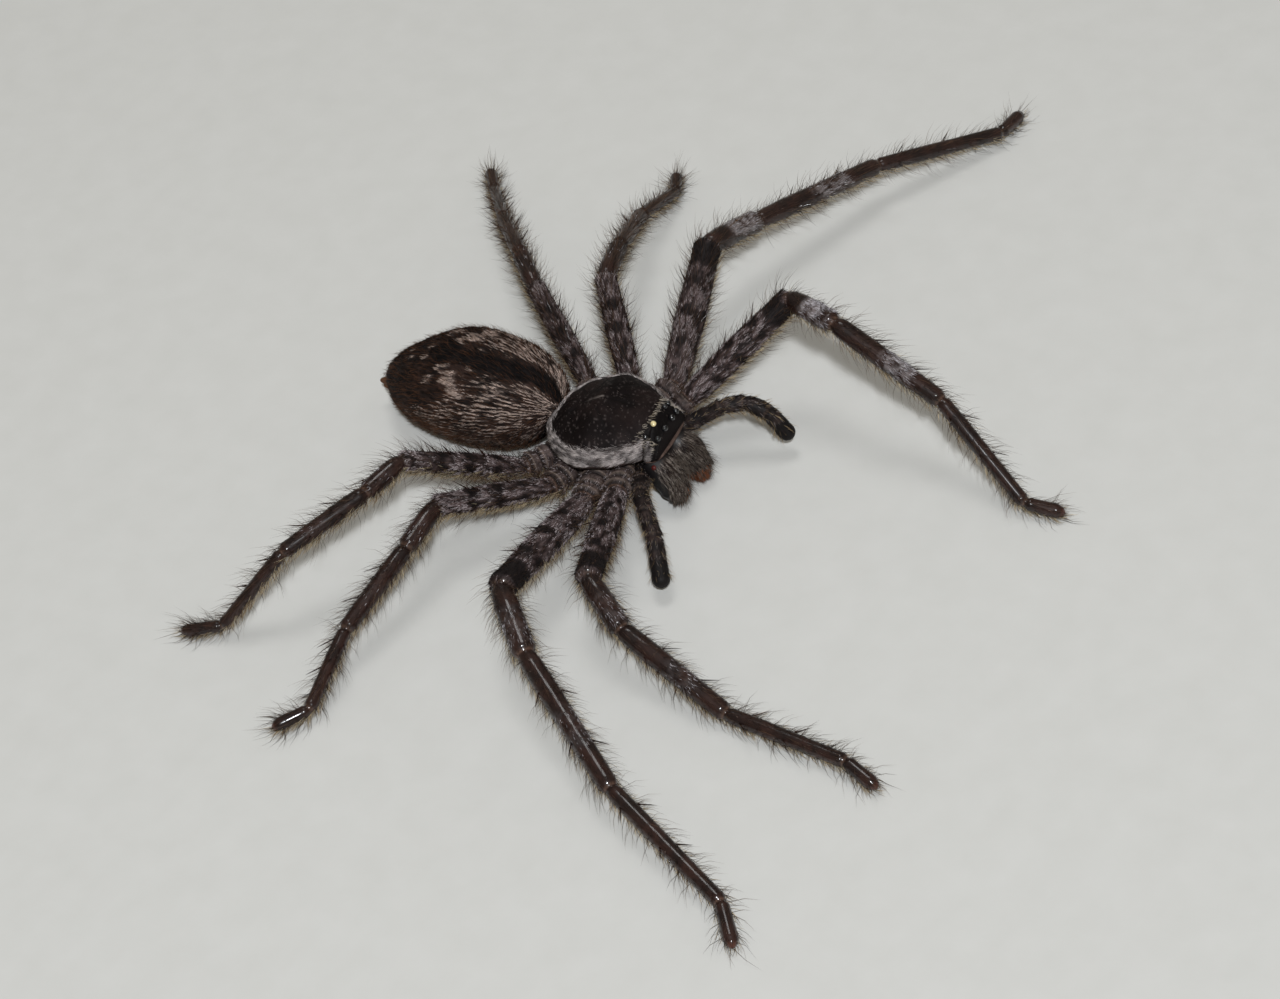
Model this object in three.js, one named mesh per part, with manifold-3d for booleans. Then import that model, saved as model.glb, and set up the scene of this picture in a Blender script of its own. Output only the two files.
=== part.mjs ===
import * as THREE from 'three';
import { mergeVertices } from 'three/addons/utils/BufferGeometryUtils.js';
import Module from 'manifold-3d';

const wasm = await Module();
wasm.setup();

// All lengths are millimetres and all angles degrees.
// The spider faces -Y, its left side is +X and the floor is z = 0.

// Stance
const MARGIN_HEIGHT = 5.1;
const ANKLE_HEIGHT = 1.2;
const TOE_HEIGHT = 0.65;
const JOINT_GAP = 0.3;

// Head and thorax shield
const SHIELD_FRONT = 5.6;
const SHIELD_BACK = 5.3;
const SHIELD_HALF_WIDTH = 5.55;
const CLYPEUS_HALF_WIDTH = 2.75;
const SHIELD_DOME = 3.0;
const SHIELD_EDGE = 0.6;
// The shield and the eyes are turned a little to the left, as in the photo
const SHIELD_TURN = THREE.MathUtils.degToRad(3.5);

// Core of the body under the shield
const CORE_CENTRE = -0.6;
const CORE_HALF_LENGTH = 3.7;
const CORE_HALF_WIDTH = 2.7;
const CORE_TOP = -0.95;
const CORE_BOTTOM = -4.0;

// Abdomen
const ABDOMEN_LENGTH = 17.7;
const ABDOMEN_HALF_WIDTH = 5.5;
const ABDOMEN_HALF_HEIGHT = 4.55;
const ABDOMEN_CENTRE = -13.5;
const ABDOMEN_BELLY = 4.2;
const ABDOMEN_RISE = -0.3;
const ABDOMEN_DROOP = -2.1;

// Stalk between the two halves of the body
const STALK_RADIUS = 0.95;
const STALK_HEIGHT = -1.9;

// Jaws
const JAW_LENGTH = 4.9;
const JAW_RADIUS = 1.45;
const JAW_SPREAD = 1.62;
const FANG_RADIUS = 0.42;

// Eyes: forward, sideways and radius, left side only; each sits on the shield's surface
const EYES = [
  [5.5, 0.68, 0.3],
  [5.35, 1.75, 0.29],
  [4.75, 1.08, 0.25],
  [4.45, 2.15, 0.26],
];
const EYE_STANDS = 0.12;
// Eye mound: an oval cut from the front of the shield
const MOUND_CENTRE = [4.95, 0, 2.1];
const MOUND_HALF = [1.75, 3.0, 1.8];

// Legs, front to back: lengths of femur, patella, tibia, metatarsus and tarsus
const LEG_LENGTHS = [
  [12.2, 5.2, 10.9, 10.8, 3.4],
  [14.2, 6.7, 14.2, 13.3, 4.0],
  [10.4, 4.6, 8.5, 7.4, 3.3],
  [12.0, 4.1, 8.3, 8.4, 3.7],
];
// Hips: forward, sideways and height from the margin
const HIPS = [
  [3.9, 6.2, -1.2],
  [1.6, 7.6, -1.7],
  [-2.2, 6.8, -2.1],
  [-5.5, 5.5, -2.2],
];
// How far round from straight ahead each of the five leg pieces points
const LEG_HEADINGS = {
  left: [
    [49, -17, -7, -19, 12],
    [104, 78, 69, 58, 86],
    [130, 105, 108, 95, 118],
    [143, 138, 134, 130, 129],
  ],
  right: [
    [70, 29, 12, 4, 18],
    [87, 43, 33, 23, 50],
    [125, 93, 97, 84, 130],
    [124, 106, 118, 131, 155],
  ],
};
// How steeply femur, patella and tibia climb
const LEG_CLIMBS = {
  left: [
    [36, 1, -22],
    [18, -16, -9],
    [25, -5, -21],
    [12, 9, -14],
  ],
  right: [
    [11, -22, -17],
    [13, -11, -10],
    [17, -10, -14],
    [31, -7, -12],
  ],
};
// Radius of femur, patella, tibia, metatarsus and tarsus for each pair
const LEG_RADII = [
  [1.2, 1.02, 0.92, 0.74, 0.66],
  [1.32, 1.1, 0.95, 0.78, 0.68],
  [1.06, 0.92, 0.82, 0.68, 0.62],
  [0.98, 0.88, 0.8, 0.66, 0.62],
];
const LEG_ORDINALS = ['1', '2', '3', '4'];

// Stiff spines: place along the piece, turn from its top, and length
const FEMUR_SPINES = [
  [0.34, 4, 2.3],
  [0.62, -6, 2.2],
  [0.4, 62, 2.1],
  [0.68, 55, 2.0],
  [0.4, -62, 2.1],
  [0.68, -55, 2.0],
];
const TIBIA_SPINES = [
  [0.26, 72, 2.0],
  [0.64, 68, 1.9],
  [0.3, -72, 2.0],
  [0.68, -68, 1.9],
];
const METATARSUS_SPINES = [
  [0.14, 70, 1.8],
  [0.5, 66, 1.6],
  [0.18, -70, 1.8],
  [0.54, -66, 1.6],
];
const SPINE_RADIUS = 0.26;
const SPINE_LEAN = 52;
const SPINE_VARIES = 0.12;

// Palps: base, then the ends of femur, patella, tibia and tarsus
const PALPS = {
  left: [
    [4.6, 3.5, -1.9],
    [7.6, 5.5, -0.2],
    [9.2, 6.6, -0.1],
    [11.1, 7.0, -0.9],
    [12.9, 7.4, -3.6],
  ],
  right: [
    [4.5, -3.4, -2.0],
    [6.3, -6.2, -0.3],
    [7.7, -7.8, -0.5],
    [9.2, -9.3, -1.4],
    [11.3, -12.2, -3.7],
  ],
};
const PALP_RADIUS = 0.72;

const LEG_SECTORS = 12;
const BODY_SECTORS = 30;
const UP = new THREE.Vector3(0, 0, 1);

// A point given forward, to the left and above the shield's margin
function spot(forward, left, above) {
  return new THREE.Vector3(left, -forward, above + MARGIN_HEIGHT);
}

// The same for a point of the shield, which is turned about the middle of the body
function shieldSpot(forward, left, above) {
  return spot(forward, left, above).applyAxisAngle(UP, SHIELD_TURN);
}

// A direction given by its heading on one side of the body and its climb
function heading(side, round, climb) {
  const a = THREE.MathUtils.degToRad(round);
  const e = THREE.MathUtils.degToRad(climb);
  const flat = Math.cos(e);
  return new THREE.Vector3(side * Math.sin(a) * flat, -Math.cos(a) * flat, Math.sin(e));
}

// A smooth reading of a size from pairs of place and value
function along(pairs, t) {
  let index = 0;
  while (index < pairs.length - 2 && t > pairs[index + 1][0]) {
    index += 1;
  }
  const [t0, v0] = pairs[index];
  const [t1, v1] = pairs[index + 1];
  const u = THREE.MathUtils.clamp((t - t0) / (t1 - t0), 0, 1);
  return v0 + (v1 - v0) * u * u * (3 - 2 * u);
}

// A closed surface through rings of points, with a fan at each end
function skinOver(rings) {
  const sectors = rings[0].length;
  const points = [];
  const faces = [];
  for (const ring of rings) {
    for (const point of ring) {
      points.push(point.x, point.y, point.z);
    }
  }
  for (let row = 0; row < rings.length - 1; row += 1) {
    for (let k = 0; k < sectors; k += 1) {
      const a = row * sectors + k;
      const b = row * sectors + (k + 1) % sectors;
      faces.push(a, b, a + sectors);
      faces.push(b, b + sectors, a + sectors);
    }
  }
  for (const [row, turned] of [[0, true], [rings.length - 1, false]]) {
    const hub = points.length / 3;
    const centre = new THREE.Vector3();
    for (const point of rings[row]) {
      centre.addScaledVector(point, 1 / sectors);
    }
    points.push(centre.x, centre.y, centre.z);
    for (let k = 0; k < sectors; k += 1) {
      const a = row * sectors + k;
      const b = row * sectors + (k + 1) % sectors;
      faces.push(...(turned ? [b, a, hub] : [a, b, hub]));
    }
  }
  const geometry = new THREE.BufferGeometry();
  geometry.setAttribute('position', new THREE.Float32BufferAttribute(points, 3));
  geometry.setIndex(signedVolume(points, faces) < 0 ? faces.reverse() : faces);
  return geometry;
}

// Six times the volume inside a list of triangles, negative when they face inwards
function signedVolume(points, faces) {
  const corners = [new THREE.Vector3(), new THREE.Vector3(), new THREE.Vector3()];
  let total = 0;
  for (let i = 0; i < faces.length; i += 3) {
    for (let k = 0; k < 3; k += 1) {
      corners[k].fromArray(points, faces[i + k] * 3);
    }
    total += corners[0].dot(corners[1].cross(corners[2]));
  }
  return total;
}

// A solid ready for joining and cutting
function solidFrom(geometry) {
  const bare = geometry.clone();
  bare.deleteAttribute('normal');
  bare.deleteAttribute('uv');
  const welded = mergeVertices(bare, 1e-4);
  return new wasm.Manifold(new wasm.Mesh({
    numProp: 3,
    vertProperties: new Float32Array(welded.attributes.position.array),
    triVerts: new Uint32Array(welded.index.array),
  }));
}

// The largest closed surface of a solid as geometry
function geometryFrom(solid) {
  const pieces = solid.decompose();
  pieces.sort((a, b) => b.volume() - a.volume());
  const mesh = pieces[0].getMesh();
  const geometry = new THREE.BufferGeometry();
  geometry.setAttribute('position', new THREE.Float32BufferAttribute(mesh.vertProperties, 3));
  geometry.setIndex(Array.from(mesh.triVerts));
  geometry.computeVertexNormals();
  return geometry;
}

// A limb piece between two end planes, which may be slanted to mate with a neighbour
function limb({ from, to, facing, closing, radii, bow = 0, sectors = LEG_SECTORS, rows = 7, wide = 1 }) {
  const axis = to.clone().sub(from);
  const length = axis.length();
  axis.normalize();
  const startFace = facing ?? axis;
  const endFace = closing ?? axis;
  const side = new THREE.Vector3().crossVectors(axis, UP).normalize();
  const top = new THREE.Vector3().crossVectors(side, axis);
  const rings = [];
  for (let row = 0; row <= rows; row += 1) {
    const t = row / rows;
    const ring = [];
    for (let k = 0; k < sectors; k += 1) {
      const phi = (k / sectors) * Math.PI * 2;
      const out = side.clone().multiplyScalar(Math.cos(phi) * wide);
      out.addScaledVector(top, Math.sin(phi));
      const first = out.clone().multiplyScalar(along(radii, 0));
      const last = out.clone().multiplyScalar(along(radii, 1));
      const begins = -first.dot(startFace) / axis.dot(startFace);
      const ends = length - last.dot(endFace) / axis.dot(endFace);
      const point = from.clone().addScaledVector(axis, begins + (ends - begins) * t);
      point.addScaledVector(out, along(radii, t));
      point.addScaledVector(top, bow * Math.sin(Math.PI * t));
      ring.push(point);
    }
    rings.push(ring);
  }
  return skinOver(rings);
}

// The plane where two limb pieces meet
function mitre(a, b) {
  return a.clone().add(b).normalize();
}

// Half width of the shield at a place between back (0) and front (1)
function shieldHalfWidth(u) {
  const round = Math.sqrt(Math.max(0, 1 - (2 * u - 1) ** 2));
  const head = along([[0, 0.97], [0.4, 1], [0.65, 0.9], [0.8, 0.84], [0.89, 0.88], [1, 0.75]], u);
  const share = CLYPEUS_HALF_WIDTH / SHIELD_HALF_WIDTH;
  const blunt = along([[0, 0], [0.68, 0], [0.96, share * 1.11], [1, share]], u);
  return SHIELD_HALF_WIDTH * Math.max(round * head * 1.02, blunt);
}

// Height of the shield over its margin, at a place and a share of the half width
function shieldHeight(u, v) {
  const crown = along([[0, 0.1], [0.22, 0.6], [0.48, 1], [0.76, 0.96], [0.92, 0.84], [1, 0.55]], u);
  const across = Math.pow(Math.max(0, 1 - v * v), 0.68);
  return SHIELD_DOME * crown * across;
}

// Head and thorax shield: a low dome, broad behind and narrow at the head
function shieldGeometry(grow = 0, drop = 0) {
  const rows = 18;
  const half = 12;
  const rings = [];
  const span = SHIELD_FRONT + SHIELD_BACK;
  for (let row = 0; row <= rows; row += 1) {
    const u = 0.5 - 0.5 * Math.cos((row / rows) * Math.PI) * 0.997;
    const forward = -SHIELD_BACK - grow + u * (span + 2 * grow);
    const width = shieldHalfWidth(u) + grow;
    const ring = [];
    for (let k = 0; k <= half; k += 1) {
      const v = Math.cos((k / half) * Math.PI);
      ring.push(shieldSpot(forward, v * width, shieldHeight(u, v)));
    }
    for (let k = half; k >= 0; k -= 1) {
      const v = Math.cos((k / half) * Math.PI);
      ring.push(shieldSpot(forward, v * width * 0.97, -SHIELD_EDGE - drop));
    }
    rings.push(ring);
  }
  return skinOver(rings);
}

// Breast plate and core: an upright oval block with a rounded lower rim and a lip
function coreGeometry(grow = 0) {
  const levels = [
    [CORE_TOP + grow, 0.96],
    [CORE_TOP - 0.4, 1],
    [CORE_BOTTOM + 0.8, 1],
    [CORE_BOTTOM + 0.3, 0.93],
    [CORE_BOTTOM - grow, 0.78],
  ];
  const rings = levels.map(([level, share]) => {
    const ring = [];
    for (let k = 0; k < 28; k += 1) {
      const phi = (k / 28) * Math.PI * 2;
      const forward = CORE_CENTRE + Math.cos(phi) * (CORE_HALF_LENGTH * share + grow);
      ring.push(spot(forward, Math.sin(phi) * (CORE_HALF_WIDTH * share + grow), level));
    }
    return ring;
  });
  return skinOver(rings);
}

// Fullness of the abdomen from front (0) to back (1): in plan, over the back and under the belly
function abdomenFullness(u) {
  const reach = Math.abs(2 * u - 1);
  if (u < 0.45) {
    const front = Math.pow(Math.max(0, 1 - reach ** 2.5), 0.5);
    return { plan: front, over: front, under: front };
  }
  return {
    plan: Math.pow(Math.max(0, 1 - reach ** 2.1), 0.6),
    over: Math.pow(Math.max(0, 1 - reach ** 2.6), 0.52),
    under: Math.pow(Math.max(0, 1 - reach ** 1.9), 0.72),
  };
}

// Abdomen: an egg with a full back, drawn down to the spinnerets behind
function abdomenGeometry() {
  const rows = 18;
  const rings = [];
  for (let row = 0; row <= rows; row += 1) {
    const u = 0.5 - 0.5 * Math.cos((row / rows) * Math.PI) * 0.995;
    const forward = ABDOMEN_CENTRE + ABDOMEN_LENGTH * (0.5 - u);
    const { plan, over, under } = abdomenFullness(u);
    const rise = along([[0, -0.3], [0.5, ABDOMEN_RISE], [1, ABDOMEN_DROOP]], u);
    const ring = [];
    for (let k = 0; k < BODY_SECTORS; k += 1) {
      const phi = (k / BODY_SECTORS) * Math.PI * 2;
      const tall = Math.sin(phi) < 0 ? ABDOMEN_BELLY * under : ABDOMEN_HALF_HEIGHT * over;
      ring.push(spot(forward, Math.cos(phi) * ABDOMEN_HALF_WIDTH * plan, rise + Math.sin(phi) * tall));
    }
    rings.push(ring);
  }
  return skinOver(rings);
}

// Stalk from the core to the front of the abdomen
function stalkSolid(core, abdomen) {
  const tube = limb({
    from: spot(-2.5, 0, STALK_HEIGHT),
    to: spot(-9.5, 0, STALK_HEIGHT + 0.5),
    radii: [[0, STALK_RADIUS], [1, STALK_RADIUS]],
    sectors: 14,
    rows: 2,
  });
  return solidFrom(tube).subtract(core).subtract(abdomen);
}

// Spinnerets: two pairs of short blunt cones on a small button
function spinneretSolid(abdomen) {
  const end = ABDOMEN_CENTRE - ABDOMEN_LENGTH / 2;
  let cluster = solidFrom(limb({
    from: spot(end + 1.5, 0, -2.3),
    to: spot(end - 0.1, 0, -2.7),
    radii: [[0, 1.15], [0.7, 1.05], [1, 0.7]],
    sectors: 14,
    rows: 3,
  }));
  for (const side of [-1, 1]) {
    for (const [spread, level, reach] of [[0.48, -2.45, 0.9], [0.42, -3.0, 0.7]]) {
      cluster = cluster.add(solidFrom(limb({
        from: spot(end + 0.2, side * spread * 0.7, level),
        to: spot(end - reach, side * spread * 1.2, level - 0.1),
        radii: [[0, 0.42], [0.7, 0.34], [1, 0.18]],
        sectors: 8,
        rows: 3,
      })));
    }
  }
  return cluster.subtract(abdomen);
}

// One jaw: a stout segment that bulges in front and narrows to the fang
function jawGeometry(side, grow = 0) {
  const from = spot(4.6, side * (JAW_SPREAD - 0.12), -1.1);
  const drop = new THREE.Vector3(side * 0.42, -2.1, -3.1).normalize();
  const to = from.clone().addScaledVector(drop, JAW_LENGTH * 0.82);
  const r = JAW_RADIUS + grow;
  return limb({
    from,
    to,
    facing: new THREE.Vector3(0, -1, 0.0),
    closing: new THREE.Vector3(0, -0.3, -1).normalize(),
    radii: [[0, r * 0.94], [0.4, r * 1.08], [0.8, r * 0.92], [1, r * 0.7]],
    bow: 0.55,
    sectors: 16,
    rows: 7,
  });
}

// One fang: a curved tapering claw folded under the jaw
function fangGeometry(side) {
  const points = [
    spot(6.9, side * 2.4, -3.75),
    spot(6.85, side * 2.1, -4.35),
    spot(6.55, side * 1.35, -4.5),
    spot(6.2, side * 0.5, -4.4),
  ];
  const curve = new THREE.CatmullRomCurve3(points);
  const rings = [];
  const steps = 9;
  for (let i = 0; i <= steps; i += 1) {
    const t = i / steps;
    const centre = curve.getPoint(t);
    const tangent = curve.getTangent(t);
    const across = new THREE.Vector3().crossVectors(tangent, new THREE.Vector3(0, 1, 0)).normalize();
    const lift = new THREE.Vector3().crossVectors(across, tangent);
    const r = FANG_RADIUS * along([[0, 1], [0.3, 0.9], [1, 0.18]], t);
    const ring = [];
    for (let k = 0; k < 10; k += 1) {
      const phi = (k / 10) * Math.PI * 2;
      const point = centre.clone().addScaledVector(across, Math.cos(phi) * r);
      ring.push(point.addScaledVector(lift, Math.sin(phi) * r));
    }
    rings.push(ring);
  }
  return skinOver(rings);
}

// The oval that bounds the eye mound
function moundBounds(grow) {
  const ball = new THREE.SphereGeometry(1, 16, 10);
  const [long, wide, tall] = MOUND_HALF;
  ball.scale(wide + grow, long + grow, tall + grow);
  ball.rotateZ(SHIELD_TURN);
  const centre = shieldSpot(...MOUND_CENTRE);
  ball.translate(centre.x, centre.y, centre.z);
  return solidFrom(ball);
}

// The eye mound: a raised part of the head with eight eyes standing on it
function moundSolid(shield) {
  let mound = shield.intersect(moundBounds(0));
  for (const side of [-1, 1]) {
    for (const [forward, left, radius] of EYES) {
      const u = (forward + SHIELD_BACK) / (SHIELD_FRONT + SHIELD_BACK);
      const above = shieldHeight(u, left / shieldHalfWidth(u)) + EYE_STANDS - radius * 0.2;
      const ball = new THREE.SphereGeometry(radius, 10, 7);
      const centre = shieldSpot(forward, side * left, above);
      ball.translate(centre.x, centre.y, centre.z);
      mound = mound.add(solidFrom(ball));
    }
  }
  return mound;
}

// One palp: four pieces in a chain with a round blunt tip
function palpSolid(sideName) {
  const joints = PALPS[sideName].map((p) => spot(...p));
  const shares = [1, 0.96, 0.98, 1.0];
  let palp = null;
  for (let i = 0; i < 4; i += 1) {
    const axis = joints[i + 1].clone().sub(joints[i]).normalize();
    const r = PALP_RADIUS * shares[i];
    const tip = i === 3;
    const piece = solidFrom(limb({
      from: joints[i].clone().addScaledVector(axis, -0.35),
      to: joints[i + 1].clone().addScaledVector(axis, tip ? 0.15 : 0.35),
      radii: tip
        ? [[0, r * 0.85], [0.3, r], [0.8, r * 0.98], [0.93, r * 0.72], [1, r * 0.3]]
        : [[0, r * 0.8], [0.2, r * 0.98], [0.8, r], [1, r * 0.8]],
      sectors: 12,
      rows: tip ? 8 : 5,
    }));
    palp = palp ? palp.add(piece) : piece;
  }
  return palp;
}

// The five joints after the hip for one leg
function legJoints(sideName, pair) {
  const side = sideName === 'left' ? 1 : -1;
  const [forward, left, above] = HIPS[pair];
  const joints = [spot(forward, side * left, above)];
  for (let i = 0; i < 5; i += 1) {
    const reach = LEG_LENGTHS[pair][i];
    const goal = i === 3 ? ANKLE_HEIGHT : TOE_HEIGHT;
    const level = joints[i].z;
    const climb = i < 3
      ? LEG_CLIMBS[sideName][pair][i]
      : THREE.MathUtils.radToDeg(Math.asin((goal - level) / reach));
    const step = heading(side, LEG_HEADINGS[sideName][pair][i], climb);
    joints.push(joints[i].clone().addScaledVector(step, reach));
  }
  return joints;
}

// Radius along each of the five leg pieces, from its near end to its far end
function legProfile(piece, r) {
  return [
    [[0, r * 0.8], [0.16, r * 0.98], [0.5, r * 1.06], [0.88, r * 0.94], [1, r * 0.82]],
    [[0, r * 0.9], [0.3, r * 1.02], [0.8, r * 1.0], [1, r * 0.88]],
    [[0, r * 0.92], [0.2, r * 1.04], [0.6, r], [0.9, r * 0.94], [1, r * 0.86]],
    [[0, r * 0.92], [0.2, r * 1.0], [0.7, r * 0.94], [1, r * 0.86]],
    [[0, r * 0.88], [0.35, r], [0.78, r * 1.1], [0.93, r * 0.8], [1, r * 0.4]],
  ][piece];
}

// The trochanter and hip piece of one leg, from the core to the femur
function hipSolid(hip, firstStep, pair, grow = 0) {
  const root = spot(CORE_CENTRE + [2.6, 0.9, -0.9, -2.6][pair], Math.sign(hip.x) * 1.2, -2.45);
  const axis = hip.clone().sub(root).normalize();
  const face = mitre(axis, firstStep);
  const r = [1.3, 1.38, 1.26, 1.22][pair] + grow;
  return solidFrom(limb({
    from: root,
    to: hip.clone().addScaledVector(face, -JOINT_GAP / 2),
    closing: face,
    radii: [[0, r], [0.62, r], [0.76, r * 0.86], [0.9, r * 0.94], [1, r * 0.8]],
    rows: 6,
    sectors: 10,
  }));
}

// One of the five leg pieces
function legPieceSolid(joints, pair, piece, hipAxis) {
  const axes = [hipAxis];
  for (let i = 0; i < 5; i += 1) {
    axes.push(joints[i + 1].clone().sub(joints[i]).normalize());
  }
  const start = mitre(axes[piece], axes[piece + 1]);
  const last = piece === 4;
  const end = last ? axes[5] : mitre(axes[piece + 1], axes[piece + 2]);
  const from = joints[piece].clone().addScaledVector(start, JOINT_GAP / 2);
  const to = joints[piece + 1].clone();
  if (!last) {
    to.addScaledVector(end, -JOINT_GAP / 2);
  }
  return solidFrom(limb({
    from,
    to,
    facing: start,
    closing: end,
    radii: legProfile(piece, LEG_RADII[pair][piece]),
    bow: [0.1, 0.05, 0.08, 0.05, 0][piece],
    rows: [6, 4, 6, 5, 7][piece],
    sectors: [12, 10, 12, 10, 10][piece],
  }));
}

// A repeatable run of numbers between 0 and 1
function numberRun(seed) {
  let state = seed;
  return () => {
    state = (state * 16807) % 2147483647;
    return state / 2147483647;
  };
}

// The spines of one leg piece, each a cone that leans towards the toe
function withSpines(solid, from, to, radii, rows, next) {
  const axis = to.clone().sub(from);
  const length = axis.length();
  axis.normalize();
  const side = new THREE.Vector3().crossVectors(axis, UP).normalize();
  const top = new THREE.Vector3().crossVectors(side, axis);
  let grown = solid;
  for (const [place, turn, reach] of rows) {
    const t = place + (next() - 0.5) * SPINE_VARIES * 0.5;
    const phi = THREE.MathUtils.degToRad(turn + (next() - 0.5) * 60 * SPINE_VARIES);
    const lean = THREE.MathUtils.degToRad(SPINE_LEAN * (1 + (next() - 0.5) * SPINE_VARIES));
    const out = top.clone().multiplyScalar(Math.cos(phi)).addScaledVector(side, Math.sin(phi));
    const way = out.clone().multiplyScalar(Math.cos(lean)).addScaledVector(axis, Math.sin(lean));
    const tall = reach * (1 + (next() - 0.5) * 2 * SPINE_VARIES);
    const sunk = along(radii, t) * 0.55;
    const cone = new THREE.ConeGeometry(SPINE_RADIUS, tall, 5, 1);
    cone.translate(0, tall / 2, 0);
    cone.applyQuaternion(new THREE.Quaternion().setFromUnitVectors(new THREE.Vector3(0, 1, 0), way));
    const root = from.clone().addScaledVector(axis, length * t).addScaledVector(out, sunk);
    cone.translate(root.x, root.y, root.z);
    grown = grown.add(solidFrom(cone));
  }
  return grown;
}

// A finish for one kind of surface
function finish(red, green, blue, roughness) {
  return new THREE.MeshStandardMaterial({
    color: new THREE.Color(red, green, blue),
    roughness,
    metalness: 0,
  });
}

const FINISHES = {
  shield: () => finish(0.09, 0.07, 0.06, 0.5),
  sternum: () => finish(0.2, 0.15, 0.11, 0.8),
  stalk: () => finish(0.16, 0.12, 0.1, 0.8),
  abdomen: () => finish(0.2, 0.14, 0.11, 0.9),
  spinneret: () => finish(0.36, 0.18, 0.08, 0.7),
  jaw: () => finish(0.17, 0.14, 0.13, 0.6),
  fang: () => finish(0.05, 0.03, 0.025, 0.3),
  eye: () => finish(0.01, 0.01, 0.012, 0.1),
  palp: () => finish(0.12, 0.09, 0.08, 0.7),
  femur: () => finish(0.27, 0.22, 0.2, 0.85),
  shank: () => finish(0.13, 0.08, 0.06, 0.5),
};

const model = new THREE.Group();
model.name = 'huntsman_spider';

function addNode(name, geometry, kind) {
  const mesh = new THREE.Mesh(geometry, FINISHES[kind]());
  mesh.name = name;
  model.add(mesh);
}

// A box that holds everything under the floor
function underFloor() {
  const box = new THREE.BoxGeometry(300, 300, 20);
  box.translate(0, 0, -10);
  return solidFrom(box);
}

function buildBody() {
  const whole = solidFrom(shieldGeometry());
  const mound = moundSolid(whole);
  const shield = whole.subtract(moundBounds(JOINT_GAP));
  const shieldClear = solidFrom(shieldGeometry(JOINT_GAP, JOINT_GAP));
  const core = solidFrom(coreGeometry());
  const coreClear = solidFrom(coreGeometry(JOINT_GAP));
  const abdomen = solidFrom(abdomenGeometry());
  const belly = spot(ABDOMEN_CENTRE, 0, 0);
  const abdomenClear = abdomen
    .translate([0, -belly.y, -belly.z])
    .scale([1.056, 1.036, 1.07])
    .translate([0, belly.y, belly.z]);
  addNode('carapace', geometryFrom(shield), 'shield');
  addNode('eyes', geometryFrom(mound), 'eye');
  addNode('sternum', geometryFrom(core), 'sternum');
  addNode('abdomen', geometryFrom(abdomen.subtract(shieldClear)), 'abdomen');
  const stalk = stalkSolid(coreClear, abdomenClear).subtract(shieldClear);
  addNode('pedicel', geometryFrom(stalk), 'stalk');
  addNode('spinnerets', geometryFrom(spinneretSolid(abdomenClear)), 'spinneret');
  return { shieldClear, coreClear, abdomenClear };
}

function buildHead(body, hips) {
  const taken = [];
  for (const [name, side] of [['left', 1], ['right', -1]]) {
    const jaw = solidFrom(jawGeometry(side)).subtract(body.shieldClear).subtract(body.coreClear);
    addNode(`chelicera_${name}`, geometryFrom(jaw), 'jaw');
    const jawClear = solidFrom(jawGeometry(side, JOINT_GAP));
    addNode(`fang_${name}`, geometryFrom(solidFrom(fangGeometry(side)).subtract(jawClear)), 'fang');
    taken.push(jawClear);
  }
  for (const name of ['left', 'right']) {
    let palp = palpSolid(name).subtract(hips[name]);
    for (const solid of taken) {
      palp = palp.subtract(solid);
    }
    addNode(`palp_${name}`, geometryFrom(palp), 'palp');
  }
}

function buildLegs(body) {
  const floor = underFloor();
  const next = numberRun(7411);
  const hips = {};
  for (const [name, side] of [['left', 1], ['right', -1]]) {
    let cleared = body.shieldClear.add(body.coreClear);
    for (let pair = 0; pair < 4; pair += 1) {
      const joints = legJoints(name, pair);
      const firstStep = joints[1].clone().sub(joints[0]).normalize();
      const root = spot(CORE_CENTRE + [2.6, 0.9, -0.9, -2.6][pair], side * 1.2, -2.45);
      const hipAxis = joints[0].clone().sub(root).normalize();
      const hip = hipSolid(joints[0], firstStep, pair).subtract(cleared);
      cleared = cleared.add(hipSolid(joints[0], firstStep, pair, JOINT_GAP));
      const tag = `${name}_${LEG_ORDINALS[pair]}`;
      addNode(`coxa_${tag}`, geometryFrom(hip), 'femur');
      const names = ['femur', 'patella', 'tibia', 'metatarsus', 'tarsus'];
      names.forEach((part, piece) => {
        let solid = legPieceSolid(joints, pair, piece, hipAxis);
        const rows = { 0: FEMUR_SPINES, 2: TIBIA_SPINES, 3: METATARSUS_SPINES }[piece];
        if (rows) {
          const radii = legProfile(piece, LEG_RADII[pair][piece]);
          solid = withSpines(solid, joints[piece], joints[piece + 1], radii, rows, next);
        }
        if (piece === 4) {
          solid = solid.subtract(floor);
        }
        addNode(`${part}_${tag}`, geometryFrom(solid), piece === 0 ? 'femur' : 'shank');
      });
    }
    hips[name] = cleared;
  }
  return hips;
}

// Puts the middle of the model's box over the origin
function centreModel() {
  const box = new THREE.Box3().setFromObject(model);
  const middle = box.getCenter(new THREE.Vector3());
  for (const mesh of model.children) {
    mesh.geometry.translate(-middle.x, -middle.y, 0);
  }
}

const body = buildBody();
const hips = buildLegs(body);
buildHead(body, hips);
centreModel();

export default model;
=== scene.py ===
import math

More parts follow.
